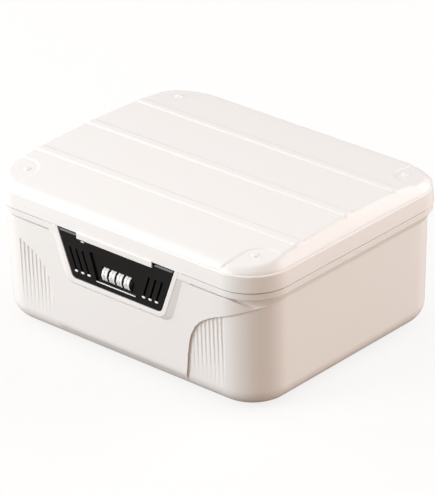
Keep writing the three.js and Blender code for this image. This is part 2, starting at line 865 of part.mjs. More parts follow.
function lidShell() {
  const tabX = [-tabHalfWidth, tabHalfWidth];
  const tab = join(
    boxSolid(tabX, [tabFace, tabBack], [tabFoot, seamHeight + seatGap]),
    boxSolid(tabX, [tabFace, -(halfDepth - lidWall / 2)], [seamHeight, seamHeight + tabRise]),
  );
  const hooks = [-1, 1].map((side) => boxSolid(
    [side * hookSpacing - hookHalfWidth, side * hookSpacing + hookHalfWidth],
    [tabBack - hookReach, tabBack + hookReach],
    [tabFoot + seatGap, tabFoot + seatGap + hookHeight],
  ));
  let body = join(lidBody(), lidPanel(), tab, ...hooks, ...pips());
  for (const side of [-1, 1]) {
    const reach = [side * hingeSpacing - lidKnuckleWidth / 2, side * hingeSpacing + lidKnuckleWidth / 2];
    body = join(
      body,
      boxSolid(reach, [halfDepth - armThickness, halfDepth], [hingeZ, seamHeight + overrun]),
      rodX(knuckleRadius, reach, hingeY, hingeZ),
    );
    const past = [reach[0] - overrun, reach[1] + overrun];
    body = cut(body, rodX(hingePinRadius + pinGap, past, hingeY, hingeZ));
  }
  return geometryOf(body);
}

function hingePin() {
  const half = lidKnuckleWidth / 2 + knuckleGap + baseKnuckleWidth - pinGap;
  return geometryOf(rodX(hingePinRadius, [-half, half], 0, 0));
}

// Latch

function wheelCentre(i) {
  return (i - (wheelCount - 1) / 2) * wheelPitch;
}

const carrierScrews = [-1, 1].flatMap((side) => {
  const x = side * (cheekOuter + flangeWidth / 3);
  return [[x, flangeTop - flangeScrewTop], [x, flangeFoot + flangeScrewFoot]];
});

/** The slanted slots on the right of the pocket, as four-cornered outlines. */
function slotOutlines() {
  return Array.from({ length: slotCount }, (_, i) => {
    const upper = slotFirst + i * slotPitch;
    const lower = upper - slotLean;
    return [
      [lower - slotWidth / 2, slotBottom], [lower + slotWidth / 2, slotBottom],
      [upper + slotWidth / 2, slotTop], [upper - slotWidth / 2, slotTop],
    ];
  });
}

function lockPlate() {
  let body = prismY(trapezoid(plateSides), plateFace, plateBack);
  const pocket = [
    [pocketTopHalf, pocketTop], [-pocketTopHalf, pocketTop],
    [-pocketBottomHalf, pocketBottom], [pocketBottomHalf, pocketBottom],
  ];
  body = cut(body, prismY(pocket, plateFace - overrun, plateFace + pocketDepth));
  const chordDepth = wheelSink - (plateThickness - pocketDepth);
  const windowHalf = Math.sqrt(wheelRadius ** 2 - chordDepth ** 2) + fitGap;
  const dialRun = wheelCount * wheelPitch / 2 + discThickness / 2 + fitGap;
  body = cut(body, boxSolid(
    [-dialRun, dialRun],
    [plateFace, plateBack + overrun],
    [wheelHeight - windowHalf, wheelHeight + windowHalf],
  ));
  for (const outline of slotOutlines()) {
    const mirror = outline.map(([x, z]) => [-x, z]).reverse();
    body = cut(
      body,
      prismY(outline, plateFace - overrun, plateBack + overrun),
      prismY(mirror, plateFace - overrun, plateBack + overrun),
    );
  }
  for (const side of [-1, 1]) {
    const hookX = side * hookSpacing;
    const clear = hookHalfWidth + fitGap;
    body = cut(body, boxSolid(
      [hookX - clear, hookX + clear],
      [plateFace - overrun, tabBack + hookReach + fitGap],
      [tabFoot, plateTop + overrun],
    ));
    const lugX = [side * lugSpacing - lugWidth / 2, side * lugSpacing + lugWidth / 2];
    body = cut(
      join(
        body,
        boxSolid(lugX, [plateBack - fitGap, pivotY], [pivotZ - lugRadius, pivotZ + lugRadius]),
        rodX(lugRadius, lugX, pivotY, pivotZ, roundSteps),
        rodY(pegRadius, side * springSpacing, [plateBack - fitGap, plateBack + pegLength], springHeight),
      ),
      rodX(pivotPinRadius + pinGap, [lugX[0] - overrun, lugX[1] + overrun], pivotY, pivotZ, tinySteps),
    );
  }
  for (const [x, z] of carrierScrews) {
    const reach = [plateBack - smallScrewBite - seatGap, plateBack + overrun];
    body = cut(body, rodY(smallScrewRadius + pinGap, x, reach, z));
  }
  return geometryOf(body);
}

const flangeFront = plateBack + seatGap;
const flangeBack = flangeFront + flangeThickness;

function wheelCarrier() {
  const wide = [-cheekOuter, cheekOuter];
  const parts = [
    boxSolid(wide, [flangeFront, carrierBack], [cheekFoot, cheekFoot + trayThickness]),
    boxSolid(wide, [barFront, carrierBack], [cheekTop - barHeight, cheekTop]),
  ];
  for (const side of [-1, 1]) {
    const across = (a, b) => ordered(side * a, side * b);
    parts.push(boxSolid(across(cheekSpacing, cheekOuter), [flangeFront, carrierBack], [cheekFoot, cheekTop]));
    const flange = across(cheekSpacing, flangeOuter);
    parts.push(boxSolid(flange, [flangeFront, flangeBack], [cheekTop - barHeight / 2, flangeTop]));
    parts.push(boxSolid(flange, [flangeFront, flangeBack], [flangeFoot, cheekFoot + trayThickness / 2]));
  }
  const holes = carrierScrews.map(([x, z]) => (
    rodY(smallScrewRadius + pinGap, x, [flangeFront - overrun, flangeBack + overrun], z)));
  const past = [-cheekOuter - overrun, cheekOuter + overrun];
  const bore = rodX(shaftRadius + pinGap, past, wheelY, wheelHeight);
  return geometryOf(cut(join(...parts), bore, ...holes));
}

/** A pan-head screw along Y: its head sits on the seat and its point lies at the tip. */
function screwSolid({ radius, headRadius, headHeight }, seat, tip) {
  const out = Math.sign(seat - tip);
  const socket = headHeight * 2 / 3;
  return cut(
    join(
      rodY(radius, 0, ordered(tip, seat + out * headHeight / 2), 0),
      rodY(headRadius, 0, ordered(seat, seat + out * headHeight), 0),
    ),
    rodY(headRadius / 2, 0, ordered(seat + out * socket, seat + out * (headHeight + socket)), 0, hexSides),
  );
}

const largeScrew = { radius: screwRadius, headRadius: screwHeadRadius, headHeight: screwHeadHeight };
const smallScrew = { radius: smallScrewRadius, headRadius: smallHeadRadius, headHeight: smallHeadHeight };

function carrierScrew() {
  return geometryOf(screwSolid(smallScrew, flangeBack + seatGap, plateBack - smallScrewBite));
}

function detentSpring() {
  const sheet = [detentFront, detentBack];
  const reach = cheekSpacing - cheekThickness;
  const parts = [boxSolid([-reach, reach], sheet, [cheekTop - barHeight, cheekTop])];
  for (let i = 0; i < wheelCount; i += 1) {
    const x = wheelCentre(i);
    const across = [x - fingerWidth / 2, x + fingerWidth / 2];
    parts.push(boxSolid(across, sheet, [wheelHeight - fingerDrop, cheekTop - barHeight / 2]));
  }
  return geometryOf(join(...parts));
}

function wheelShaft() {
  const half = cheekOuter + seatGap + clipThickness * 2;
  return geometryOf(rodX(shaftRadius, [-half, half], 0, 0));
}

/** An open retaining ring, pushed on from the front. */
function shaftClip() {
  const reach = [-clipThickness / 2, clipThickness / 2];
  const past = [reach[0] - overrun, reach[1] + overrun];
  const mouth = boxSolid(past, [0, clipRadius + overrun], [-shaftRadius, shaftRadius]);
  return geometryOf(cut(rodX(clipRadius, reach, 0, 0), rodX(shaftRadius + pinGap, past, 0, 0), mouth));
}

/** A dial: a drum with ten shallow flutes between its digits and a round bore. */
function codeWheel() {
  const half = wheelWidth / 2;
  const steps = wheelFlutes * arcSteps;
  const outline = (x, sink) => Array.from({ length: steps }, (_, i) => {
    const angle = (i / steps) * Math.PI * 2;
    const radius = wheelRadius - sink - (i % arcSteps === arcSteps / 2 ? fluteSink : 0);
    return [x, radius * Math.cos(angle), radius * Math.sin(angle)];
  });
  const drum = solid(loft([
    outline(-half, wheelChamfer), outline(-half + wheelChamfer, 0), outline(half - wheelChamfer, 0),
    outline(half, wheelChamfer),
  ], 'fan'));
  return geometryOf(cut(drum, rodX(bushRadius + seatGap, [-half - overrun, half + overrun], 0, 0)));
}

/** The bush inside a dial with the gated disc that lies beside it. */
function camDisc() {
  const gap = (wheelPitch - wheelWidth - discThickness) / 2;
  const near = wheelWidth / 2 + gap;
  const body = join(
    rodX(bushRadius, [-wheelWidth / 2, near + discThickness / 2], 0, 0),
    rodX(discRadius, [near, near + discThickness], 0, 0),
  );
  const gate = boxSolid(
    [near - gap / 2, near + discThickness + overrun],
    [discRadius - gateDepth, discRadius + overrun],
    [-gateWidth / 2, gateWidth / 2],
  );
  const bore = rodX(shaftRadius + pinGap, [-wheelWidth, near + discThickness + overrun], 0, 0);
  return geometryOf(cut(body, bore, gate));
}

function latchPivotPin() {
  const half = lugWidth / 2 + fitGap + earWidth - pinGap;
  return geometryOf(rodX(pivotPinRadius, [-half, half], 0, 0, tinySteps));
}

// Inner cover and what it carries

function lockCover() {
  const top = rimTop - coverTopGap;
  const outer = grown(coverBorder, coverBorder, top);
  const inner = grown(coverBorder - coverWall, coverBorder - coverWall, top - coverWall);
  const ears = coverScrews.map(([x, z]) => {
    const side = Math.sign(x);
    return boxSolid(
      ordered(x - side * earTabWidth, x + side * earTabHeight / 2),
      [coverFront + seatGap, coverFront + seatGap + coverWall],
      [z - earTabHeight / 2, z + earTabHeight / 2],
    );
  });
  const body = join(prismY(trapezoid(outer), coverFront, coverBack), ...ears);
  const pegs = [-1, 1].map((side) => (
    rodY(pegRadius, side * springSpacing, [coverInner - pegLength, coverInner + overrun], springHeight)));
  const holes = coverScrews.map(([x, z]) => (
    rodY(screwRadius + pinGap, x, [coverFront - overrun, coverFront + coverWall + overrun], z)));
  const bite = [coverInner - overrun, coverInner + smallCombBite + seatGap];
  const combHoles = [-1, 1].map((side) => (
    rodY(smallScrewRadius + pinGap, side * combScrewSpacing, bite, combScrewHeight)));
  const through = [coverInner - overrun, coverBack + overrun];
  return geometryOf(cut(
    join(cut(body, prismY(trapezoid(inner), coverFront - overrun, coverInner)), ...pegs),
    ...holes,
    ...combHoles,
    rodY(buttonStemRadius + fitGap, buttonOffset, through, buttonHeight),
  ));
}

function coverScrew(z) {
  const seat = coverFront + seatGap + coverWall + seatGap;
  return geometryOf(screwSolid(largeScrew, seat, wallFrontAt(z) - screwBite));
}

const combBack = coverInner - seatGap;
const combFront = combBack - combThickness;

function blockingComb() {
  const tip = wheelY + discRadius + toothStandOff;
  const sheet = [wheelHeight - combDrop, wheelHeight + combRise];
  const parts = [boxSolid([-combHalfWidth, combHalfWidth], [combFront, combBack], sheet)];
  for (let i = 0; i < wheelCount; i += 1) {
    const x = wheelCentre(i) + wheelPitch / 2;
    const across = [x - discThickness / 2, x + discThickness / 2];
    const tall = [wheelHeight - toothHalfHeight, wheelHeight + toothHalfHeight];
    parts.push(boxSolid(across, [tip, combFront + seatGap], tall));
  }
  const through = [combFront - overrun, combBack + overrun];
  const holes = [-1, 1].map((side) => (
    rodY(smallScrewRadius + pinGap, side * combScrewSpacing, through, combScrewHeight)));
  return geometryOf(cut(join(...parts), ...holes));
}

function combScrew() {
  return geometryOf(screwSolid(smallScrew, combFront - seatGap, coverInner + smallCombBite));
}

function latchSpring() {
  return springGeometry(springRadius, springWire, springTurns, plateBack + seatGap, coverInner - seatGap);
}

const buttonFront = coverBack + buttonStandOff;

function resetButton() {
  return geometryOf(join(
    rodY(buttonHeadRadius, 0, [buttonFront, buttonFront + buttonHeadLength], 0, roundSteps),
    rodY(buttonStemRadius, 0, [coverInner - buttonStemLength, buttonFront + buttonHeadLength / 2], 0),
    rodY(collarRadius, 0, [coverInner - seatGap - collarLength, coverInner - seatGap], 0),
  ));
}

function resetSpring() {
  return springGeometry(
    buttonSpringRadius, buttonSpringWire, buttonSpringTurns, coverBack + seatGap, buttonFront - seatGap);
}

// Assembly

const finishes = {
  shell: { color: 0xf1ece6, roughness: 0.42, metalness: 0 },
  plate: { color: 0x202022, roughness: 0.38, metalness: 0 },
  dial: { color: 0xf4f2ee, roughness: 0.3, metalness: 0 },
  inner: { color: 0x3a3b3d, roughness: 0.55, metalness: 0 },
  button: { color: 0xc9423a, roughness: 0.4, metalness: 0 },
  rubber: { color: 0x8f8c88, roughness: 0.85, metalness: 0 },
  steel: { color: 0xb9bbbe, roughness: 0.3, metalness: 1 },
};

const boxGroup = new THREE.Group();
boxGroup.position.z = footStand;

function place(name, geometry, finish, parent = boxGroup) {
  const mesh = new THREE.Mesh(geometry, new THREE.MeshStandardMaterial(finishes[finish]));
  mesh.name = name;
  parent.add(mesh);
  return mesh;
}

place('base_shell', baseShell(), 'shell');
footPlaces().forEach(([x, y], i) => {
  place(`rubber_foot_${i + 1}`, rubberFoot(), 'rubber').position.set(x, y, 0);
});
place('lid_shell', lidShell(), 'shell');
const sides = [['left', -1], ['right', 1]];
for (const [side, sign] of sides) {
  place(`hinge_pin_${side}`, hingePin(), 'steel').position.set(sign * hingeSpacing, hingeY, hingeZ);
}

place('lock_plate', lockPlate(), 'plate');
for (const [side, sign] of sides) {
  const pin = place(`latch_pivot_pin_${side}`, latchPivotPin(), 'steel');
  pin.position.set(sign * lugSpacing, pivotY, pivotZ);
  place(`latch_spring_${side}`, latchSpring(), 'steel').position.set(sign * springSpacing, 0, springHeight);
}
place('wheel_carrier', wheelCarrier(), 'inner');
carrierScrews.forEach(([x, z], i) => {
  place(`carrier_screw_${i + 1}`, carrierScrew(), 'steel').position.set(x, 0, z);
});
place('detent_spring', detentSpring(), 'steel');

const axleGroup = new THREE.Group();
axleGroup.position.set(0, wheelY, wheelHeight);
boxGroup.add(axleGroup);
place('wheel_shaft', wheelShaft(), 'steel', axleGroup);
for (const [side, sign] of sides) {
  const seat = cheekOuter + seatGap + clipThickness / 2;
  place(`shaft_clip_${side}`, shaftClip(), 'steel', axleGroup).position.x = sign * seat;
}
for (let i = 0; i < wheelCount; i += 1) {
  place(`code_wheel_${i + 1}`, codeWheel(), 'dial', axleGroup).position.x = wheelCentre(i);
  place(`cam_disc_${i + 1}`, camDisc(), 'inner', axleGroup).position.x = wheelCentre(i);
}

place('lock_cover', lockCover(), 'inner');
coverScrews.forEach(([x, z], i) => {
  place(`cover_screw_${i + 1}`, coverScrew(z), 'steel').position.set(x, 0, z);
});
place('blocking_comb', blockingComb(), 'steel');
for (const [side, sign] of sides) {
  const screw = place(`comb_screw_${side}`, combScrew(), 'steel');
  screw.position.set(sign * combScrewSpacing, 0, combScrewHeight);
}
place('reset_button', resetButton(), 'button').position.set(buttonOffset, 0, buttonHeight);
place('reset_spring', resetSpring(), 'steel').position.set(buttonOffset, 0, buttonHeight);

const medicationLockBox = new THREE.Group();
medicationLockBox.add(boxGroup);

export default medicationLockBox;
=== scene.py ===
"""Looks of a lockable medication box: warm off-white mouldings round a black latch with four dials.

Sizes are in millimetres, measured from the underside of the tub, and are lifted by the feet.
"""

import logging
import math
from dataclasses import dataclass, field
from enum import Enum
from typing import Callable, Optional, Sequence

import bmesh
import bpy
from mathutils import Matrix, Vector


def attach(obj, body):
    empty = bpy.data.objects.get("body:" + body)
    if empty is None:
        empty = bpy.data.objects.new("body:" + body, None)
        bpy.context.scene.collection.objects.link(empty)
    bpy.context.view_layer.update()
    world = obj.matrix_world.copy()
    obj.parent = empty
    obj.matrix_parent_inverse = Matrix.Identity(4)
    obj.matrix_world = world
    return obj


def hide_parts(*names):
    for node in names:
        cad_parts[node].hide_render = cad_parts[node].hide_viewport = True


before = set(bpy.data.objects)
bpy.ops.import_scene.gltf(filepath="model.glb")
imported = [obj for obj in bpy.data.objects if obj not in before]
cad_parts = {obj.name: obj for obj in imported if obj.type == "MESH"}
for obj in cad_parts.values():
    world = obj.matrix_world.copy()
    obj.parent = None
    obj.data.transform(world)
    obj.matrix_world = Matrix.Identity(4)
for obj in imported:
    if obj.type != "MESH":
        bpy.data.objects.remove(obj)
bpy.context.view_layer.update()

LOG = logging.getLogger("lock_box")
MM = 0.001
FOOT_STAND = 1.2
# Numbers of a Mix node's colour sockets: the first colour, the second and the result
MIX_FIRST, MIX_SECOND, MIX_RESULT = 6, 7, 2

Point2 = tuple[float, float]
Point3 = tuple[float, float, float]
Ring = list[Point3]


class Part(Enum):
    """Stretches of the plan outline, from the middle of the front round to the back."""

    FRONT = "front"
    FRONT_CORNER = "front corner"
    SIDE = "side"
    BACK_CORNER = "back corner"


class Cap(Enum):
    """How the end of a grown wall is closed."""

    FACE = "one face"
    STRIPS = "strips across the width"


class Element(Enum):
    """What is picked in edit mode: Blender's select mode and bmesh's list."""

    VERTS = ("VERT", "verts")
    EDGES = ("EDGE", "edges")


class Join(Enum):
    """What a tool does to a piece."""

    ADD = "UNION"
    CUT = "DIFFERENCE"


class Body(Enum):
    """The moving bodies of the box, apart from the dials, which are numbered."""

    TUB = "tub"
    LID = "lid"
    LATCH = "latch"
    BUTTON = "button"


def placed(point: Point3) -> Vector:
    """Turns a point in millimetres from the tub's underside into metres from the table."""
    return Vector((point[0] * MM, point[1] * MM, (point[2] + FOOT_STAND) * MM))


def smooth(value: float) -> float:
    """Eases a share from 0 to 1."""
    t = min(max(value, 0.0), 1.0)
    return t * t * (3 - 2 * t)


def linked(name: str, data: bpy.types.ID) -> bpy.types.Object:
    """Makes an object of some data and puts it in the scene.

    Args:
        name: The object's name.
        data: Its mesh, camera or lamp.

    Returns:
        The object.
    """
    thing = bpy.data.objects.new(name, data)
    bpy.context.scene.collection.objects.link(thing)
    return thing


# Finishes


def linear(code: str) -> tuple[float, float, float, float]:
    """Turns an sRGB hex colour into Blender's linear colour.

    Args:
        code: Six hex digits after a number sign.

    Returns:
        Red, green, blue and an alpha of 1.
    """
    parts = [int(code[i:i + 2], 16) / 255 for i in (1, 3, 5)]
    bent = [c / 12.92 if c <= 0.04045 else ((c + 0.055) / 1.055) ** 2.4 for c in parts]
    return bent[0], bent[1], bent[2], 1.0


def add_node(
    tree: bpy.types.NodeTree,
    kind: str,
    settings: Optional[dict] = None,
    links: Optional[dict] = None,
) -> bpy.types.Node:
    """Adds one node to a tree, sets it and wires its inputs.

    Args:
        tree: The tree that gets the node.
        kind: Blender's name of the node type.
        settings: Values by the node's own property name, or by the name or number of a socket.
        links: Output sockets by the name or number of the input that each one feeds.

    Returns:
        The new node.
    """
    node = tree.nodes.new(kind)
    for name, value in (settings or {}).items():
        if isinstance(name, str) and hasattr(node, name):
            setattr(node, name, value)
        else:
            node.inputs[name].default_value = value
    for name, output in (links or {}).items():
        tree.links.new(output, node.inputs[name])
    return node


def blank_material(name: str) -> tuple[bpy.types.Material, bpy.types.NodeTree]:
    """Makes a material without nodes.

    Args:
        name: The material's name.

    Returns:
        The material and its empty node tree.
    """
    material = bpy.data.materials.new(name)
    material.use_nodes = True
    material.node_tree.nodes.clear()
    return material, material.node_tree


@dataclass(frozen=True)
class MouldedPlastic:
    """A moulded plastic: a faint flow marbling, a fine mould texture and a soft, uneven gloss.

    The mould texture of the real part is about 0.05 mm across. It is drawn coarser, because
    it would not show at the size of the picture.
    """

    name: str
    colour: str
    marbled: str
    roughness: float
    gloss_drift: float
    ior: float
    grain_mm: float
    grain_depth_mm: float
    marbling_mm: float = 60.0

    def make(self) -> bpy.types.Material:
        """Builds the node material.

        Returns:
            The material.
        """
        material, tree = blank_material(self.name)
        place = add_node(tree, "ShaderNodeTexCoord").outputs["Object"]
        flow = add_node(
            tree, "ShaderNodeTexNoise",
            {"Scale": 1 / (self.marbling_mm * MM), "Detail": 3.0, "Roughness": 0.5},
            {"Vector": place})
        tint = add_node(
            tree, "ShaderNodeMix",
            {"data_type": "RGBA", MIX_FIRST: linear(self.colour), MIX_SECOND: linear(self.marbled)},
            {"Factor": flow.outputs["Fac"]})
        polish = add_node(
            tree, "ShaderNodeMapRange",
            {"From Min": 0.3, "From Max": 0.7,
             "To Min": self.roughness - self.gloss_drift,
             "To Max": self.roughness + self.gloss_drift},
            {"Value": flow.outputs["Fac"]})
        grain = add_node(
            tree, "ShaderNodeTexNoise",
            {"Scale": 1 / (self.grain_mm * MM), "Detail": 2.0, "Roughness": 0.6},
            {"Vector": place})
        relief = add_node(
            tree, "ShaderNodeBump", {"Strength": 1.0, "Distance": self.grain_depth_mm * MM},
            {"Height": grain.outputs["Fac"]})
        shader = add_node(
            tree, "ShaderNodeBsdfPrincipled", {"IOR": self.ior},
            {"Base Color": tint.outputs[MIX_RESULT], "Roughness": polish.outputs["Result"],
             "Normal": relief.outputs["Normal"]})
        add_node(tree, "ShaderNodeOutputMaterial", None, {"Surface": shader.outputs["BSDF"]})
        return material


@dataclass(frozen=True)
class PlatedSteel:
    """Zinc-plated or spring steel: a satin metal with drawn streaks along one axis."""

    name: str
    colour: str
    shade: str
    roughness: float
    streak_mm: Point3
    gloss_drift: float = 0.06
    streak_depth_mm: float = 0.01

    def make(self) -> bpy.types.Material:
        """Builds the node material.

        Returns:
            The material.
        """
        material, tree = blank_material(self.name)
        place = add_node(tree, "ShaderNodeTexCoord").outputs["Object"]
        stretch = add_node(
            tree, "ShaderNodeMapping", {"Scale": tuple(1 / (size * MM) for size in self.streak_mm)},
            {"Vector": place})
        streaks = add_node(
            tree, "ShaderNodeTexNoise", {"Scale": 1.0, "Detail": 3.0},
            {"Vector": stretch.outputs["Vector"]})
        tint = add_node(
            tree, "ShaderNodeMix",
            {"data_type": "RGBA", MIX_FIRST: linear(self.colour), MIX_SECOND: linear(self.shade)},
            {"Factor": streaks.outputs["Fac"]})
        polish = add_node(
            tree, "ShaderNodeMapRange",
            {"From Min": 0.3, "From Max": 0.7,
             "To Min": self.roughness - self.gloss_drift,
             "To Max": self.roughness + self.gloss_drift},
            {"Value": streaks.outputs["Fac"]})
        relief = add_node(
            tree, "ShaderNodeBump", {"Strength": 1.0, "Distance": self.streak_depth_mm * MM},
            {"Height": streaks.outputs["Fac"]})
        shader = add_node(
            tree, "ShaderNodeBsdfPrincipled", {"Metallic": 1.0},
            {"Base Color": tint.outputs[MIX_RESULT], "Roughness": polish.outputs["Result"],
             "Normal": relief.outputs["Normal"]})
        add_node(tree, "ShaderNodeOutputMaterial", None, {"Surface": shader.outputs["BSDF"]})
        return material


@dataclass(frozen=True)
class PrintedInk:
    """Pad-printed ink: flat and matte, slightly worn where fingers turn the dials."""

    name: str
    colour: str
    worn: str
    roughness: float
    wear_mm: float = 0.8

    def make(self) -> bpy.types.Material:
        """Builds the node material.

        Returns:
            The material.
        """
        material, tree = blank_material(self.name)
        place = add_node(tree, "ShaderNodeTexCoord").outputs["Object"]
        wear = add_node(
            tree, "ShaderNodeTexNoise", {"Scale": 1 / (self.wear_mm * MM), "Detail": 4.0},
            {"Vector": place})
        tint = add_node(
            tree, "ShaderNodeMix",
            {"data_type": "RGBA", MIX_FIRST: linear(self.colour), MIX_SECOND: linear(self.worn)},
            {"Factor": wear.outputs["Fac"]})
        shader = add_node(
            tree, "ShaderNodeBsdfPrincipled", {"Roughness": self.roughness, "IOR": 1.5},
            {"Base Color": tint.outputs[MIX_RESULT]})
        add_node(tree, "ShaderNodeOutputMaterial", None, {"Surface": shader.outputs["BSDF"]})
        return material


@dataclass
class Finishes:
    """Every finish on the box, made once."""

    # ABS shell, injection moulded in a lightly textured tool: warm off-white with a satin gloss
    shell: bpy.types.Material = field(default_factory=lambda: MouldedPlastic(
        "moulded_abs_off_white", "#F4F1EE", "#F2EFEB", 0.34, 0.03, 1.5, 1.1, 0.006).make())
    # ABS plate, moulded in black: deep, with a slightly sharper gloss
    plate: bpy.types.Material = field(default_factory=lambda: MouldedPlastic(
        "moulded_abs_black", "#0F1114", "#141619", 0.24, 0.03, 1.4, 0.7, 0.003, 25.0).make())
    # Acetal dials, moulded and polished: bright white and slick
    dial: bpy.types.Material = field(default_factory=lambda: MouldedPlastic(
        "moulded_acetal_white", "#F6F5F3", "#F1F0EE", 0.28, 0.03, 1.48, 0.6, 0.004, 12.0).make())
    # Glass-filled nylon for the hidden lock parts: dark grey, matte, with a coarse grain
    inner: bpy.types.Material = field(default_factory=lambda: MouldedPlastic(
        "moulded_nylon_dark_grey", "#232325", "#1C1D1F", 0.55, 0.05, 1.53, 0.8, 0.015, 30.0).make())
    # ABS button, moulded in red
    button: bpy.types.Material = field(default_factory=lambda: MouldedPlastic(
        "moulded_abs_red", "#C9423A", "#BE3C34", 0.38, 0.04, 1.54, 0.6, 0.006, 12.0).make())
    # Moulded thermoplastic rubber feet: grey and dull
    rubber: bpy.types.Material = field(default_factory=lambda: MouldedPlastic(
        "moulded_rubber_grey", "#8F8C88", "#858380", 0.82, 0.05, 1.5, 0.9, 0.02, 14.0).make())
    # Zinc-plated steel screws, pins and springs
    steel: bpy.types.Material = field(default_factory=lambda: PlatedSteel(
        "zinc_plated_steel", "#B9BBBE", "#A6A8AC", 0.3, (6.0, 0.4, 0.4)).make())
    # Pad-printed grey digits
    ink: bpy.types.Material = field(default_factory=lambda: PrintedInk(
        "pad_printed_grey_ink", "#8E8C89", "#A3A19E", 0.5).make())


# Modelling by hand


class Bench:
    """Blender's modelling moves on one object at a time, each left in object mode."""

    def rest(self) -> None:
        """Leaves edit mode and selects nothing."""
        if bpy.context.object and bpy.context.object.mode != "OBJECT":
            bpy.ops.object.mode_set(mode="OBJECT")
        bpy.ops.object.select_all(action="DESELECT")

    def hold(self, piece: bpy.types.Object) -> None:
        """Selects one object alone and makes it active.

        Args:
            piece: The object.
        """
        self.rest()
        piece.select_set(True)
        bpy.context.view_layer.objects.active = piece

    def edit(self, piece: bpy.types.Object, element: Element = Element.VERTS) -> None:
        """Opens one object in edit mode with nothing picked.

        Args:
            piece: The object to edit.
            element: What is to be picked.
        """
        self.hold(piece)
        bpy.ops.object.mode_set(mode="EDIT")
        bpy.ops.mesh.select_mode(type=element.value[0])
        bpy.ops.mesh.select_all(action="DESELECT")

    def pick(self, piece: bpy.types.Object, element: Element, test: Callable[..., bool]) -> None:
        """Picks the vertices or edges that pass a test, in edit mode.

        Args:
            piece: The object in edit mode.
            element: What is picked.
            test: Called with each vertex or edge.
        """
        skin = bmesh.from_edit_mesh(piece.data)
        for item in getattr(skin, element.value[1]):
            if test(item):
                item.select_set(True)
        skin.select_flush_mode()
        bmesh.update_edit_mesh(piece.data)

    def grow(self, name: str, rings: Sequence[Ring], cap: Cap = Cap.FACE) -> bpy.types.Object:
        """Grows a wall from a circle, extruded once for each ring and laid on the ring's points.

        Args:
            name: The new object's name.
            rings: Rings of points in millimetres, all with the same count.
            cap: How both ends are closed.

        Returns:
            The grown object.
        """
        count = len(rings[0])
        self.rest()
        bpy.ops.mesh.primitive_circle_add(vertices=count, radius=1.0)
        piece = bpy.context.object
        piece.name = piece.data.name = name
        bpy.ops.object.mode_set(mode="EDIT")
        bpy.ops.mesh.select_mode(type="VERT")
        bpy.ops.mesh.select_all(action="SELECT")
        loop = list(range(count))
        self._lay(piece, loop, rings[0])
        for points in rings[1:]:
            bpy.ops.mesh.extrude_region()
            loop = self._follow(piece, loop)
            self._lay(piece, loop, points)
        self._close(piece, loop, cap)
        self._close(piece, list(range(count)), cap)
        bpy.ops.mesh.select_all(action="SELECT")
        bpy.ops.mesh.normals_make_consistent(inside=False)
        bpy.ops.object.mode_set(mode="OBJECT")
        return piece

    def _lay(self, piece: bpy.types.Object, loop: list[int], points: Ring) -> None:
        """Puts the vertices of a loop on a ring's points.

        Args:
            piece: The object in edit mode.
            loop: Numbers of its vertices.
            points: Where they go, in millimetres.
        """
        skin = bmesh.from_edit_mesh(piece.data)
        skin.verts.ensure_lookup_table()
        for number, point in zip(loop, points):
            skin.verts[number].co = placed(point)
        bmesh.update_edit_mesh(piece.data)

    def _follow(self, piece: bpy.types.Object, loop: list[int]) -> list[int]:
        """Finds the freshly extruded loop in the order of the one that it came from.

        Args:
            piece: The object in edit mode.
            loop: Numbers of the vertices that were extruded.

        Returns:
            Numbers of the new vertices.
        """
        skin = bmesh.from_edit_mesh(piece.data)
        skin.verts.ensure_lookup_table()
        skin.verts.index_update()
        old = set(loop)
        fresh = []
        for number in loop:
            vertex = skin.verts[number]
            others = [edge.other_vert(vertex) for edge in vertex.link_edges]
            fresh.append(next(v.index for v in others if v.select and v.index not in old))
        return fresh

    def _close(self, piece: bpy.types.Object, loop: list[int], cap: Cap) -> None:
        """Closes one end of a grown wall.

        Args:
            piece: The object in edit mode.
            loop: Numbers of the end's vertices, in order.
            cap: How the end is closed.
        """
        count = len(loop)
        if cap is Cap.FACE:
            faces = [set(loop)]
        else:
            faces = [
                {loop[k] for k in (i, i + 1, count - 2 - i, count - 1 - i)}
                for i in range(count // 2 - 1)]
        for corners in faces:
            bpy.ops.mesh.select_all(action="DESELECT")
            self.pick(piece, Element.VERTS, lambda v, c=corners: v.index in c)
            bpy.ops.mesh.edge_face_add()

    def block(
        self, name: str, low: Point3, high: Point3, round_mm: float = 0.0,
    ) -> bpy.types.Object:
        """Adds a block between two corners, with its edges rounded.

        Args:
            name: The new object's name.
            low: The lowest corner in millimetres.
            high: The highest corner in millimetres.
            round_mm: Radius of the rounded edges.

        Returns:
            The block.
        """
        self.rest()
        middle = [(a + b) / 2 for a, b in zip(low, high)]
        bpy.ops.mesh.primitive_cube_add(size=1.0, location=placed(tuple(middle)))
        piece = bpy.context.object
        piece.name = piece.data.name = name
        bpy.ops.transform.resize(value=tuple((b - a) * MM for a, b in zip(low, high)))
        bpy.ops.object.transform_apply(location=True, rotation=True, scale=True)
        if round_mm:
            self.edit(piece, Element.EDGES)
            bpy.ops.mesh.select_all(action="SELECT")
            bpy.ops.mesh.bevel(offset=round_mm * MM, segments=3, affect="EDGES")
            bpy.ops.object.mode_set(mode="OBJECT")
        return piece

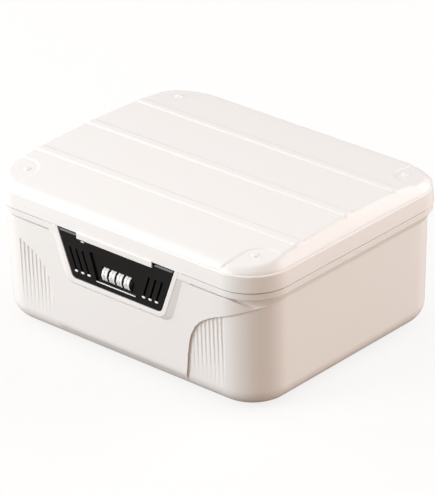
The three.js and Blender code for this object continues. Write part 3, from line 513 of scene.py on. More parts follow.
    def rod(
        self, name: str, radius: float, start: Point3, end: Point3, steps: int = 32,
        round_mm: float = 0.0,
    ) -> bpy.types.Object:
        """Adds a round rod between two points.

        Args:
            name: The new object's name.
            radius: Its radius in millimetres.
            start: The middle of one end in millimetres.
            end: The middle of the other end.
            steps: Its number of sides.
            round_mm: Radius of its rounded rims.

        Returns:
            The rod.
        """
        self.rest()
        a, b = placed(start), placed(end)
        bpy.ops.mesh.primitive_cylinder_add(
            vertices=steps, radius=radius * MM, depth=(b - a).length)
        piece = bpy.context.object
        piece.name = piece.data.name = name
        turn = Vector((0, 0, 1)).rotation_difference((b - a).normalized()).to_matrix().to_4x4()
        piece.matrix_world = Matrix.Translation((a + b) / 2) @ turn
        bpy.ops.object.transform_apply(location=True, rotation=True, scale=True)
        if round_mm:
            self.edit(piece, Element.EDGES)
            self.pick(
                piece, Element.EDGES, lambda e: any(len(f.verts) > 4 for f in e.link_faces))
            bpy.ops.mesh.bevel(offset=round_mm * MM, segments=3, affect="EDGES")
            bpy.ops.object.mode_set(mode="OBJECT")
        return piece

    def cross_rod(
        self, name: str, radius: float, start: float, end: float, at: Point2, steps: int = 32,
        round_mm: float = 0.0,
    ) -> bpy.types.Object:
        """Adds a rod along the width, from x to x, at a depth and a height."""
        return self.rod(name, radius, (start, *at), (end, *at), steps, round_mm)

    def dome(
        self, middle: Point3, radius: float, stretch: Point3, segments: int,
    ) -> bpy.types.Object:
        """Adds a ball and flattens or stretches it.

        Args:
            middle: Its middle in millimetres.
            radius: Its radius in millimetres.
            stretch: Factors along the three axes.
            segments: Its number of sides.

        Returns:
            The ball.
        """
        self.rest()
        bpy.ops.mesh.primitive_uv_sphere_add(
            segments=segments, ring_count=segments // 2, radius=radius * MM,
            location=placed(middle))
        bpy.ops.transform.resize(value=stretch)
        bpy.ops.object.transform_apply(location=True, rotation=True, scale=True)
        return bpy.context.object

    def combine(
        self, piece: bpy.types.Object, tools: Sequence[bpy.types.Object], join: Join,
    ) -> None:
        """Adds tools to a piece or cuts it with them; the tools are used up.

        Args:
            piece: The piece that stays.
            tools: The solids that act on it.
            join: What they do to it.
        """
        for tool in tools:
            self.hold(piece)
            step = piece.modifiers.new("combine", "BOOLEAN")
            step.operation = join.value
            step.solver = "EXACT"
            step.object = tool
            bpy.ops.object.modifier_apply(modifier=step.name)
            spent = tool.data
            bpy.data.objects.remove(tool)
            bpy.data.meshes.remove(spent)

    def merge(self, name: str, pieces: Sequence[bpy.types.Object]) -> bpy.types.Object:
        """Joins several objects into one without cutting them.

        Args:
            name: The joined object's name.
            pieces: The objects, which are used up.

        Returns:
            The joined object.
        """
        self.hold(pieces[0])
        for piece in pieces[1:]:
            piece.select_set(True)
        bpy.ops.object.join()
        joined = bpy.context.object
        joined.name = joined.data.name = name
        return joined

    def soften(self, piece: bpy.types.Object, width_mm: float, angle: float = 35.0) -> None:
        """Rounds every edge sharper than an angle.

        Args:
            piece: The object.
            width_mm: Width of the rounding.
            angle: The angle in degrees.
        """
        self.hold(piece)
        step = piece.modifiers.new("soften", "BEVEL")
        step.width = width_mm * MM
        step.segments = 2
        step.limit_method = "ANGLE"
        step.angle_limit = math.radians(angle)
        step.harden_normals = False
        bpy.ops.object.modifier_apply(modifier=step.name)

    def clean(self, piece: bpy.types.Object, flat_degrees: float = 0.0) -> None:
        """Merges doubled vertices and, if asked, dissolves edges inside flat faces.

        Args:
            piece: The object.
            flat_degrees: Edges blunter than this are dissolved; 0 leaves all.
        """
        self.edit(piece)
        bpy.ops.mesh.select_all(action="SELECT")
        bpy.ops.mesh.remove_doubles(threshold=0.002 * MM)
        if flat_degrees:
            bpy.ops.mesh.dissolve_limited(angle_limit=math.radians(flat_degrees))
        bpy.ops.object.mode_set(mode="OBJECT")

    def shade(self, piece: bpy.types.Object, angle: float = 30.0) -> None:
        """Shades smooth across edges blunter than an angle, with the flats kept flat.

        Args:
            piece: The object.
            angle: The angle in degrees.
        """
        self.hold(piece)
        bpy.ops.object.shade_smooth_by_angle(angle=math.radians(angle))
        step = piece.modifiers.new("flats", "WEIGHTED_NORMAL")
        step.keep_sharp = True
        step.weight = 60
        bpy.ops.object.modifier_apply(modifier=step.name)

    def dress(
        self, piece: bpy.types.Object, material: bpy.types.Material, body: str, slot: str,
        *nodes: str,
    ) -> bpy.types.Object:
        """Gives a finished piece its material and body, and lets it stand for CAD nodes.

        Args:
            piece: The finished piece.
            material: Its finish.
            body: The body that it rides on.
            slot: Its material slot; not used.
            nodes: The CAD nodes that it stands for.

        Returns:
            The piece.
        """
        piece.data.materials.clear()
        piece.data.materials.append(material)
        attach(piece, body)
        if nodes:
            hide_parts(*nodes)
        LOG.info("%s rides on %s", piece.name, body)
        return piece


# Plan outlines shared by the tub and the lid


@dataclass(frozen=True)
class Station:
    """One place round the plan outline: its stretch, its share of that, and the shield there."""

    part: Part
    share: float
    along: float = 0.0
    crease: float = 0.0
    shield: bool = False


@dataclass(frozen=True)
class PlanSizes:
    """Sizes that the tub and the lid share."""

    width: float = 260.0
    depth: float = 211.5
    lid_corner: float = 32.6
    seam: float = 92.9
    seam_gap: float = 0.3
    band_inset: float = 0.7

    @property
    def half_width(self) -> float:
        """Half the width of the lid."""
        return self.width / 2

    @property
    def half_depth(self) -> float:
        """Half the depth of the lid."""
        return self.depth / 2

    @property
    def rim(self) -> float:
        """Height of the tub's rim."""
        return self.seam - self.seam_gap

    def point(self, station: Station, inset: float, radius: float) -> Point2:
        """Finds a station's place on a rounded rectangle that lies inside the lid's outline.

        Args:
            station: The station.
            inset: How far the rectangle lies inside.
            radius: The rectangle's corner radius.

        Returns:
            The place across the width and along the depth.
        """
        hx, hy = self.half_width - inset, self.half_depth - inset
        cx, cy = hx - radius, hy - radius
        angle = station.share * math.pi / 2
        if station.part is Part.FRONT:
            return cx * station.share, -hy
        if station.part is Part.FRONT_CORNER:
            return cx + radius * math.sin(angle), -cy - radius * math.cos(angle)
        if station.part is Part.SIDE:
            return hx, cy * (2 * station.share - 1)
        return cx + radius * math.cos(angle), cy + radius * math.sin(angle)

    def ring(
        self, stations: Sequence[Station], place: Callable[[Station], Point3],
        rise: Callable[[float], float] = lambda y: 0.0,
    ) -> Ring:
        """Lays a whole ring: the right half from front to back, then its mirror image.

        Args:
            stations: The places of the right half.
            place: Gives inset, corner radius and height for a station.
            rise: Extra height for a place along the depth.

        Returns:
            The ring's points in millimetres.
        """
        right = []
        for station in stations:
            inset, radius, height = place(station)
            x, y = self.point(station, inset, radius)
            right.append((x, y, height + rise(y)))
        return right + [(-x, y, z) for x, y, z in reversed(right)]


PLAN = PlanSizes()


def plain_stations(corner_steps: int, side_steps: int) -> list[Station]:
    """Places stations round the right half of a plain rounded rectangle.

    Args:
        corner_steps: Steps round each corner.
        side_steps: Steps along the side.

    Returns:
        The stations from front to back.
    """
    stations = [Station(Part.FRONT_CORNER, i / corner_steps) for i in range(corner_steps + 1)]
    stations += [Station(Part.SIDE, i / side_steps) for i in range(1, side_steps)]
    return stations + [
        Station(Part.BACK_CORNER, i / corner_steps) for i in range(corner_steps + 1)]


def trapezoid(
    top_half: float, bottom_half: float, top: float, bottom: float,
    top_radius: float, bottom_radius: float, steps: int = 10,
) -> list[Point2]:
    """Outlines a trapezoid with rounded corners.

    Args:
        top_half: Half its width at the top.
        bottom_half: Half its width at the bottom.
        top: Height of its top edge.
        bottom: Height of its bottom edge.
        top_radius: Radius of its upper corners.
        bottom_radius: Radius of its lower corners.
        steps: Steps round each corner.

    Returns:
        Points across the width and up, from the top right, anticlockwise.
    """
    corners = [
        (top_half, top, top_radius), (-top_half, top, top_radius),
        (-bottom_half, bottom, bottom_radius), (bottom_half, bottom, bottom_radius),
    ]
    points = []
    for k, (x, z, radius) in enumerate(corners):
        corner = Vector((x, z))
        back = (Vector(corners[k - 1][:2]) - corner).normalized()
        forth = (Vector(corners[(k + 1) % 4][:2]) - corner).normalized()
        half = math.acos(back.dot(forth)) / 2
        centre = corner + (back + forth).normalized() * radius / math.sin(half)
        start = corner + back * radius / math.tan(half) - centre
        sweep = math.pi - 2 * half
        for i in range(steps + 1):
            angle = sweep * i / steps
            c, s = math.cos(angle), math.sin(angle)
            points.append((
                centre.x + start.x * c - start.y * s, centre.y + start.x * s + start.y * c))
    return points


@dataclass(frozen=True)
class LatchSizes:
    """Sizes of the latch that the tub's boss, the lid's tab, the plate and the dials share."""

    top_half: float = 54.5
    bottom_half: float = 41.3
    top: float = 91.4
    bottom: float = 56.3
    thickness: float = 2.6
    recess: float = 0.1
    bottom_radius: float = 4.5
    top_radius: float = 0.8
    border: float = 4.0
    boss_proud: float = 0.15
    slope_side: float = 9.6
    slope_bottom: float = 3.2
    boss_depth: float = 3.2
    fit: float = 0.35
    tab_proud: float = 0.95
    tab_drop: float = 4.0
    hook_x: float = 31.0
    pivot_x: float = 36.0
    pivot_behind: float = 3.4
    pivot_up: float = 3.7
    pivot_half: float = 2.1
    dial_height: float = 67.3

    @property
    def boss_face(self) -> float:
        """Front face of the boss."""
        return -(PLAN.half_depth - PLAN.band_inset + self.boss_proud)

    @property
    def face(self) -> float:
        """Front face of the plate."""
        return self.boss_face + self.recess

    @property
    def back(self) -> float:
        """Back face of the plate."""
        return self.face + self.thickness

    @property
    def tab_foot(self) -> float:
        """Height of the lower edge of the lid's tab."""
        return PLAN.seam - self.tab_drop

    @property
    def pivot(self) -> Point2:
        """Depth and height of the pins that the plate rocks on."""
        return self.back + self.pivot_behind, self.bottom + self.pivot_up

    def outline(self, sideways: float, down: float, top: float) -> list[Point2]:
        """Draws the plate's outline, moved outward.

        Args:
            sideways: How far its flanks move.
            down: How far its bottom edge moves.
            top: Height of its top edge.

        Returns:
            Points across the width and up.
        """
        slope = (self.top_half - self.bottom_half) / (self.top - self.bottom)
        bottom = self.bottom - down

        def half_at(z: float) -> float:
            """Half the width at a height."""
            return self.bottom_half + (z - self.bottom) * slope + sideways * math.hypot(1, slope)

        return trapezoid(
            half_at(top), half_at(bottom), top, bottom, self.top_radius,
            max(self.bottom_radius + down, 0.6))


@dataclass(frozen=True)
class HingeSizes:
    """Sizes of the lid's two hinges, which the tub's knuckles and the lid's arms share."""

    middle: float = 75.0
    at: Point2 = (104.0, 86.4)
    knuckle_radius: float = 2.7
    pin_radius: float = 1.35
    gap: float = 0.4
    arm_half: float = 6.0
    gap_half: float = 6.4
    knuckle_end: float = 14.4
    arm_depth: float = 3.0


LATCH = LatchSizes()
HINGE = HingeSizes()


def upright(points: Sequence[Point2], y: float) -> Ring:
    """Stands an outline up at a depth."""
    return [(x, y, z) for x, z in points]


# The tub


@dataclass
class TubMoulding:
    """The tub: a drafted shell with a proud front shield, flutes, a flare, a band and a boss."""

    bench: Bench
    finishes: Finishes
    inset_low: float = 5.1
    inset_high: float = 3.7
    corner: float = 31.2
    fillet: float = 14.4
    wall: float = 2.5
    floor: float = 2.5
    crease_height: float = 81.6
    crease_proud: float = 0.5
    crease_rise: float = 0.5
    flare_inset: float = 1.6
    groove_inset: float = 5.3
    band_foot: float = 87.3
    lip_inset: float = 3.5
    lip_height: float = 4.1
    shield_proud: float = 1.6
    shield_step: float = 0.5
    shield_top_gap: float = 2.2
    flute_count: int = 9
    flute_start: float = 64.9
    flute_pitch: float = 3.76
    flute_width: float = 3.1
    flute_foot: float = 13.0
    ear_half: float = 1.3
    ear_away: float = 3.15
    ear_foot: float = 4.1
    fillet_steps: int = 10
    crease_steps: int = 72
    spline_steps: int = 40
    side_steps: int = 6
    back_steps: int = 18
    # The crease: share of the front's half run with the corner unrolled, and share of its height
    crease_shares: tuple[Point2, ...] = (
        (0.4288, 0.186), (0.4379, 0.348), (0.4539, 0.522), (0.486, 0.65), (0.5279, 0.734),
        (0.5985, 0.811), (0.6578, 0.854), (0.7374, 0.907), (0.8128, 0.95), (0.8869, 0.978),
        (1.0, 1.0),
    )
    # Shares of the same run: where the wedge over the shield starts and ends, and where the
    # shield's step begins to fade
    wedge_start: float = 0.677
    junction: float = 0.82
    proud_fade: float = 0.58
    wedge_power: float = 2.2
    flare_power: float = 1.6

    def inset_at(self, z: float) -> float:
        """How far the plain wall lies inside the lid's outline at a height."""
        return self.inset_low + (self.inset_high - self.inset_low) * z / self.crease_height

    @property
    def front_run(self) -> float:
        """Half the straight run of the front."""
        return PLAN.half_width - self.inset_at(self.crease_height) - self.corner

    @property
    def whole_run(self) -> float:
        """The front's half run with the corner unrolled."""
        return self.front_run + self.corner * math.pi / 2

    def crease_points(self) -> list[Point2]:
        """Draws a smooth curve through the crease's knots and spaces its points evenly.

        Returns:
            Distance along the unrolled front and height of each point.
        """
        knots = [(a * self.whole_run, u * self.crease_height) for a, u in self.crease_shares]
        fine = []
        for k in range(len(knots) - 1):
            p0, p1 = knots[max(k - 1, 0)], knots[k]
            p2, p3 = knots[k + 1], knots[min(k + 2, len(knots) - 1)]
            for i in range(self.spline_steps):
                t = i / self.spline_steps
                fine.append(tuple(
                    ((2 * b) + (c - a) * t + (2 * a - 5 * b + 4 * c - d) * t * t
                     + (3 * b - a - 3 * c + d) * t ** 3) / 2
                    for a, b, c, d in zip(p0, p1, p2, p3)))
        fine.append(knots[-1])
        reach = [0.0]
        for a, b in zip(fine, fine[1:]):
            reach.append(reach[-1] + math.dist(a, b))
        even = []
        k = 0
        for i in range(self.crease_steps + 1):
            want = reach[-1] * i / self.crease_steps
            while k < len(reach) - 2 and reach[k + 1] < want:
                k += 1
            share = (want - reach[k]) / (reach[k + 1] - reach[k])
            even.append(tuple(a + (b - a) * share for a, b in zip(fine[k], fine[k + 1])))
        return even

    def stations(self) -> list[Station]:
        """Places stations round the tub, closer together where the crease sweeps down the front.

        Returns:
            The stations from front to back.
        """
        crease = self.crease_points()
        stations = []

        def add(along: float, height: float, shield: bool) -> None:
            """Adds a station on the front or in the corner.

            Args:
                along: Distance along the unrolled front.
                height: Height of the crease there.
                shield: Whether it stands on the shield below the crease.
            """
            if along <= self.front_run:
                part, share = Part.FRONT, along / self.front_run
            else:
                part = Part.FRONT_CORNER
                share = min((along - self.front_run) / (self.corner * math.pi / 2), 1.0)
            stations.append(Station(part, share, along, height, shield))

        add(crease[0][0] - self.shield_step, crease[0][1], True)
        for along, height in crease:
            add(along, height, False)
        run, top = self.whole_run, self.crease_height
        sides, backs = self.side_steps, self.back_steps
        stations += [Station(Part.SIDE, i / sides, run, top) for i in range(1, sides)]
        stations += [Station(Part.BACK_CORNER, i / backs, run, top) for i in range(backs + 1)]
        return stations

    def proud_at(self, station: Station) -> float:
        """Finds how far the shield stands proud; it fades to the crease's own small step.

        Args:
            station: The place.

        Returns:
            Millimetres out from the plain wall.
        """
        share = station.along / self.whole_run
        fade = smooth((share - self.proud_fade) / (self.junction - self.proud_fade))
        return self.shield_proud + (self.crease_proud - self.shield_proud) * fade

    def shield_top(self, station: Station) -> float:
        """Finds the height where the upright shield gives way to the flare.

        Args:
            station: The place.

        Returns:
            The height in millimetres.
        """
        share = station.along / self.whole_run
        top = self.band_foot - self.shield_top_gap
        least = station.crease + self.crease_rise * 2
        run = min(max((share - self.wedge_start) / (self.junction - self.wedge_start), 0.0), 1.0)
        return max(top + (least - top) * run ** self.wedge_power, least)

    def flare_top(self, station: Station) -> float:
        """Finds the inset of the flare's upper edge: deep behind the shield, shallow on the sides.

        Args:
            station: The place.

        Returns:
            The inset in millimetres.
        """
        share = station.along / self.whole_run
        fade = smooth((share - self.wedge_start) / (1.0 - self.wedge_start))
        return (
            self.groove_inset
            + (self.flare_inset - self.groove_inset) * fade ** self.flare_power)

    def ledge(self, station: Station) -> float:
        """Share of the full ledge on top of the shield; the sides have none."""
        return (
            (self.proud_at(station) - self.crease_proud) / (self.shield_proud - self.crease_proud))

    def shell(self) -> bpy.types.Object:
        """Grows the tub as one closed wall, from the underside over the rim to the inner floor.

        Returns:
            The tub's shell.
        """
        stations = self.stations()
        rings = []

        def lay(place: Callable[[Station], Point3]) -> None:
            """Adds one ring."""
            rings.append(PLAN.ring(stations, place))

        for i in range(self.fillet_steps + 1):
            angle = i / self.fillet_steps * math.pi / 2
            height = self.fillet * (1 - math.cos(angle))
            back = self.fillet * (1 - math.sin(angle))
            fade = smooth(height / self.fillet * 2 - 1)
            lay(lambda s, h=height, b=back, f=fade: (
                self.inset_at(h) + b - (self.shield_proud * f if s.shield else 0.0),
                self.corner - b, h))
        # The crease, the upright shield over it, and its top edge rolled over onto the ledge
        lay(lambda s: (
            self.inset_at(s.crease) - (self.shield_proud if s.shield else 0.0),
            self.corner, s.crease))
        lay(lambda s: (
            self.inset_at(s.crease) - self.proud_at(s), self.corner, s.crease + self.crease_rise))
        lay(lambda s: (
            self.inset_at(self.shield_top(s)) - self.proud_at(s),
            self.corner, self.shield_top(s) - 0.25))
        lay(lambda s: (
            self.inset_at(self.shield_top(s)) - self.proud_at(s) + 0.25 * self.ledge(s),
            self.corner, self.shield_top(s)))
        lay(lambda s: (
            max(self.flare_top(s),
                self.inset_at(self.shield_top(s)) - self.proud_at(s) + 0.02 + 0.3 * self.ledge(s)),
            self.corner, self.shield_top(s) + 0.05))
        # The flare up to the band's foot, where no inset is given, the band, the seam and the lip
        rim, band, lip, lip_top = PLAN.rim, PLAN.band_inset, self.lip_inset, self.lip_height
        for inset, height in (
            (None, self.band_foot), (band + 0.3, self.band_foot), (band, self.band_foot + 0.3),
            (band, rim - 1.0), (band + 0.1, rim - 0.78), (band + 0.35, rim - 0.7),
            (lip, rim - 0.7), (lip, rim + lip_top - 0.4), (lip + 0.4, rim + lip_top),
        ):
            lay(lambda s, n=inset, h=height: (
                self.flare_top(s) if n is None else n,
                PLAN.lid_corner - (n or self.flare_inset), h))
        # The inside, down the wall and round the fillet to the floor
        inner = self.inset_at(rim) + self.wall
        lay(lambda s: (inner - 0.4, self.corner - self.wall + 0.4, rim + self.lip_height))
        lay(lambda s: (inner, self.corner - self.wall, rim + self.lip_height - 0.4))
        hollow = self.fillet - self.wall
        for i in range(self.fillet_steps, -1, -1):
            angle = i / self.fillet_steps * math.pi / 2
            height = self.floor + hollow * (1 - math.cos(angle))
            back = hollow * (1 - math.sin(angle))
            lay(lambda s, h=height, b=back: (
                self.inset_at(h) + self.wall + b, self.corner - self.wall - b, h))
        return self.bench.grow("tub_shell", rings)

    def boss(self) -> bpy.types.Object:
        """Grows the latch's boss, with a rounded outer edge and drafted flanks.

        Returns:
            The boss.
        """
        face, rim = LATCH.boss_face, PLAN.rim
        # Each row: how far the flanks and the bottom edge stand outside the border, and the depth
        rows = (
            (LATCH.slope_side, LATCH.slope_bottom, face + LATCH.boss_depth + 1.0),
            (LATCH.slope_side, LATCH.slope_bottom, face + LATCH.boss_depth),
            (0.25, 0.15, face + 0.35), (-0.1, -0.1, face + 0.08), (-0.5, -0.5, face),
        )
        return self.bench.grow("boss", [
            upright(LATCH.outline(LATCH.border + side, LATCH.border + down, rim), y)
            for side, down, y in rows])

    def opening(self) -> list[bpy.types.Object]:
        """Grows the cutters of the latch opening, flared at the mouth to round its edge.

        Returns:
            A cutter through the wall and one for the mouth.
        """
        face, fit, rim = LATCH.boss_face, LATCH.fit, PLAN.rim
        wall_back = -(PLAN.half_depth - self.inset_at(LATCH.bottom) - self.wall)
        lip_front = -(PLAN.half_depth - self.lip_inset) - 0.15
        through = [
            upright(LATCH.outline(fit, fit, rim - PLAN.seam_gap), y)
            for y in (wall_back + 1.0, face + 1.0)]
        # Each row: how far the mouth is flared, and the depth
        rows = (
            (0.0, lip_front), (0.0, face + 0.5), (0.06, face + 0.25), (0.2, face + 0.08),
            (0.45, face - 0.01), (0.45, face - 1.0))
        mouth = [
            upright(LATCH.outline(fit + grow, fit + grow, rim + 1.0), y) for grow, y in rows]
        return [self.bench.grow("through", through), self.bench.grow("mouth", mouth)]

    def flutes(self) -> list[bpy.types.Object]:
        """Makes upright rods that cut the flutes, so that each fades out down the drafted wall.

        Returns:
            The cutters.
        """
        crease = self.crease_points()
        back = -(PLAN.half_depth - self.inset_at(self.flute_foot))
        radius = self.flute_width / 2
        cutters = []
        for side in (-1, 1):
            for i in range(self.flute_count):
                x = self.flute_start + i * self.flute_pitch
                top = next(h for along, h in crease if along > x - radius) - 0.2
                cutters.append(self.bench.rod(
                    "flute", radius, (side * x, back - radius, self.flute_foot - 6.0),
                    (side * x, back - radius, top), 40))
        return cutters

    def knuckles(self) -> tuple[list[bpy.types.Object], list[bpy.types.Object]]:
        """Makes the hinge knuckles and what clears the space for the lid's own.

        Returns:
            The solids to add and those to cut with.
        """
        bench = self.bench
        added, taken = [], []
        for side in (-1, 1):
            middle = side * HINGE.middle
            left, right = middle - HINGE.gap_half, middle + HINGE.gap_half
            for away in (-1, 1):
                near, far = middle + away * HINGE.gap_half, middle + away * HINGE.knuckle_end
                added.append(bench.cross_rod(
                    "knuckle", HINGE.knuckle_radius, near, far, HINGE.at, 40, 0.3))
            taken.append(bench.cross_rod(
                "clear", HINGE.knuckle_radius + HINGE.gap, left, right, HINGE.at, 40))
            taken.append(bench.block(
                "arm_slot", (left, PLAN.half_depth - HINGE.arm_depth - LATCH.fit, HINGE.at[1]),
                (right, PLAN.half_depth + 1, PLAN.rim + 1)))
            bore_half = HINGE.knuckle_end + 1
            taken.append(bench.cross_rod(
                "pin_bore", HINGE.pin_radius, middle - bore_half, middle + bore_half, HINGE.at, 24))
        return added, taken

    def ears(self) -> list[bpy.types.Object]:
        """Makes the four ears that carry the latch's pivot pins.

        Returns:
            The ears.
        """
        ears = []
        (pivot_y, pivot_z), half = LATCH.pivot, LATCH.pivot_half
        for side in (-1, 1):
            for away in (-1, 1):
                middle = side * LATCH.pivot_x + away * self.ear_away
                ears.append(self.bench.block(
                    "ear", (middle - self.ear_half, pivot_y - half, LATCH.bottom - self.ear_foot),
                    (middle + self.ear_half, pivot_y + half, pivot_z + half), 0.2))
        return ears

    def build(self) -> bpy.types.Object:
        """Models the tub and dresses it.

        Returns:
            The tub.
        """
        bench = self.bench
        tub = self.shell()
        bench.combine(tub, [self.boss()], Join.ADD)
        bench.combine(tub, self.flutes(), Join.CUT)
        bench.combine(tub, self.opening(), Join.CUT)
        added, taken = self.knuckles()
        bench.combine(tub, added, Join.ADD)
        bench.combine(tub, taken, Join.CUT)
        tub = bench.merge("tub_moulding", [tub, *self.ears()])
        bench.clean(tub)
        bench.shade(tub, 14.0)
        return bench.dress(tub, self.finishes.shell, Body.TUB.value, "shell", "base_shell")


# The lid


@dataclass
class LidMoulding:
    """The lid: a skirt, a rolled shoulder, a crowned top with a ribbed panel, pips and a tab."""

    bench: Bench
    finishes: Finishes
    wall: float = 2.4
    skirt: float = 11.9
    skirt_inset: float = 1.0
    roll: float = 5.0
    panel_inset: float = 9.2
    top_thickness: float = 2.5
    crown_height: float = 5.5
    panel_raise: float = 0.7
    panel_end_inset: float = 8.7
    rib_spacing: float = 52.7
    rib_half: float = 4.6
    rib_edge: float = 2.2
    rib_height: float = 0.75
    notch_radius: float = 14.3
    notch_x: float = 17.0
    notch_y: float = 21.75
    notch_turn: float = 4.0
    notch_sweep: float = 17.0
    notch_bend: float = 12.25
    edge_reach: float = 2.2
    end_ease: float = 3.5
    pip_x: float = 23.0
    pip_y: float = 25.5
    pip_radius: float = 2.9
    pip_height: float = 0.9
    tab_half: float = 35.5
    corner_steps: int = 22
    side_steps: int = 34
    row_steps: int = 24
    # The shoulder and roll: inset from the skirt's top, height over it and share of the crown
    roll_profile: tuple[Point3, ...] = (
        (0.0, -0.7, 0.0), (0.12, -0.3, 0.0), (0.4, 0.0, 0.0), (0.9, 0.12, 0.02), (1.4, 0.2, 0.03),
        (1.5, 0.7, 0.07), (1.8, 1.25, 0.13), (2.4, 2.0, 0.25), (3.3, 2.85, 0.42), (4.2, 3.5, 0.56),
        (5.2, 4.2, 0.73), (6.4, 4.75, 0.9), (8.2, 5.0, 1.0),
    )
    # The panel over the front and back rolls: inset from the lid's outline, height over the skirt
    raised_profile: tuple[Point2, ...] = (
        (2.45, 0.2), (2.47, 0.85), (2.56, 1.4), (2.82, 1.9), (3.2, 2.4), (3.8, 3.03), (4.5, 3.7),
        (5.15, 4.3), (5.9, 4.82), (6.8, 5.24), (7.9, 5.52), (9.2, 5.7),
    )
    # The panel's edge: how far in from its outline, and depth under the panel's height there
    edge_profile: tuple[Point2, ...] = (
        (-0.3, 2.0), (0.0, 0.75), (0.18, 0.6), (0.5, 0.36), (0.95, 0.15), (1.5, 0.04), (2.2, 0.0),
    )

    @property
    def skirt_top(self) -> float:
        """Height of the skirt's upper edge."""
        return PLAN.seam + self.skirt

    @property
    def top_edge(self) -> float:
        """Height of the roll's upper edge where the crown is nil."""
        return PLAN.seam + self.skirt + self.roll

    @property
    def crown_half(self) -> float:
        """Half the depth that the crown spans."""
        return PLAN.half_depth - self.panel_inset

    def crown(self, y: float) -> float:
        """Rise of the crowned top at a place along the depth."""
        return max(self.crown_height * (1 - (y / self.crown_half) ** 2), 0.0)

    def shell(self) -> bpy.types.Object:
        """Grows the lid's shell from its ceiling, round the skirt's foot and up over the roll.

        Returns:
            The lid's shell.
        """
        stations = plain_stations(self.corner_steps, self.side_steps)
        under = self.top_edge - self.top_thickness
        inner = self.wall + self.skirt_inset
        rings = []

        def lay(inset: float, height: float, crown_share: float) -> None:
            """Adds one ring."""
            rings.append(PLAN.ring(
                stations, lambda s: (inset, max(PLAN.lid_corner - inset, 1.0), height),
                lambda y: self.crown(y) * crown_share))

        # The ceiling and the skirt's inside
        lay(self.panel_inset + self.top_thickness, under, 1.0)
        lay((inner + self.panel_inset) / 2, under - self.top_thickness / 2, 0.5)
        lay(inner, self.skirt_top - self.top_thickness, 0.0)
        # The skirt's foot with its rounded edges
        for inset, up in (
            (self.wall, 0.3), (self.wall - 0.3, 0.0), (0.35, 0.0), (0.1, 0.1), (0.0, 0.35),
        ):
            lay(inset, PLAN.seam + up, 0.0)
        for inward, up, share in self.roll_profile:
            lay(self.skirt_inset + inward, self.skirt_top + up, share)
        return self.bench.grow("lid_moulding", rings, Cap.STRIPS)

    def rib(self, y: float) -> float:
        """Height of the cross ribs along the depth: flat bands with eased edges."""
        away = min(abs(y - k * self.rib_spacing) for k in (-1, 0, 1))
        return self.rib_height * smooth((self.rib_half - away) / self.rib_edge)

    def rows(self) -> list[float]:
        """Finds where the panel needs a row: evenly for the crown, closer together on the ribs.

        Returns:
            Places along the depth.
        """
        reach = PLAN.half_depth - self.notch_y - self.notch_radius - self.notch_turn
        steps = self.row_steps
        places = {round(reach * i / steps, 3) for i in range(-steps, steps + 1)}
        for k in (-1, 0, 1):
            for i in range(-9, 10):
                places.add(round(k * self.rib_spacing + self.rib_half * i / 9, 3))
        ordered = sorted(p for p in places if abs(p) < reach)
        return [p for i, p in enumerate(ordered) if i == 0 or p - ordered[i - 1] > 0.15]

    def skin(self, y: float) -> float:
        """Finds the panel's height: crowned in the middle, then down over the roll to its foot.

        Args:
            y: Place along the depth.

        Returns:
            The height in millimetres.
        """
        reach = PLAN.half_depth - abs(y)
        knots = self.raised_profile
        for (near, low), (far, high) in zip(knots, knots[1:]):
            if reach < far:
                return self.skirt_top + low + (high - low) * max(reach - near, 0.0) / (far - near)
        return self.skirt_top + knots[-1][1] + self.crown(y)

    def end_at(self, inset: float) -> float:
        """Half the panel's length where its outline is drawn in by an inset."""
        away = self.end_ease * (1 - 1.2 * max(inset, 0.0) / self.edge_reach)
        return PLAN.half_width - self.panel_end_inset + away

    def side_roll(self, x: float, y: float) -> float:
        """Finds the height of the lid's roll at its left and right, with the panel's rise added.

        Args:
            x: Place across the width.
            y: Place along the depth.

        Returns:
            The height in millimetres.
        """
        reach = PLAN.half_width - abs(x) - self.skirt_inset
        knots = self.roll_profile
        for (near, low, part), (far, high, whole) in zip(knots, knots[1:]):
            if reach < far:
                along = max(reach - near, 0.0) / (far - near)
                share = part + (whole - part) * along
                own = self.skirt_top + low + (high - low) * along + self.crown(y) * share
                return own + self.panel_raise
        return self.skirt_top + knots[-1][1] + self.crown(y) + self.panel_raise

    def lift(self, x: float, y: float, inset: float, sink: float) -> float:
        """Finds the height of a point of the panel, which melts into the lid's roll at its ends.

        Args:
            x: Place across the width.
            y: Place along the depth.
            inset: How far the point lies in from the panel's outline.
            sink: How far the panel's edge lies under its height there.

        Returns:
            The height in millimetres.
        """
        top = min(self.skin(y), self.side_roll(x, y))
        if sink > 1:
            return top - sink
        turn = self.notch_turn - inset
        near = min(max((abs(x) - self.end_at(inset) + turn) / turn, 0.0), 1.0)
        left = 1 - smooth(inset / self.edge_reach)
        dip = sink * (1 - near) + (self.panel_raise + 0.05) * left * near
        return top - dip + self.rib(y) * (1 - left * near)

    def panel_half(self, inset: float) -> list[Point2]:
        """Draws the right half of the panel's outline: over the rolls, and round each pip.

        Args:
            inset: How far the outline is drawn in.

        Returns:
            Points that always run backward, so that strips across the width can close the panel.
        """
        hx = self.end_at(inset)
        cx, cy = PLAN.half_width - self.notch_x, PLAN.half_depth - self.notch_y
        bite, turn = self.notch_radius + inset, self.notch_turn - inset
        sweep = self.notch_sweep - inset
        bend_x = cx - self.notch_radius - self.notch_sweep
        bend_y = PLAN.half_depth - self.notch_bend
        quarter = math.pi / 2

        def arc(
            x: float, y: float, radius: float, start: float, sweep: float, steps: int,
        ) -> list[Point2]:
            """Walks along an arc."""
            angles = (start + sweep * i / steps for i in range(steps + 1))
            return [(x + radius * math.cos(a), y + radius * math.sin(a)) for a in angles]

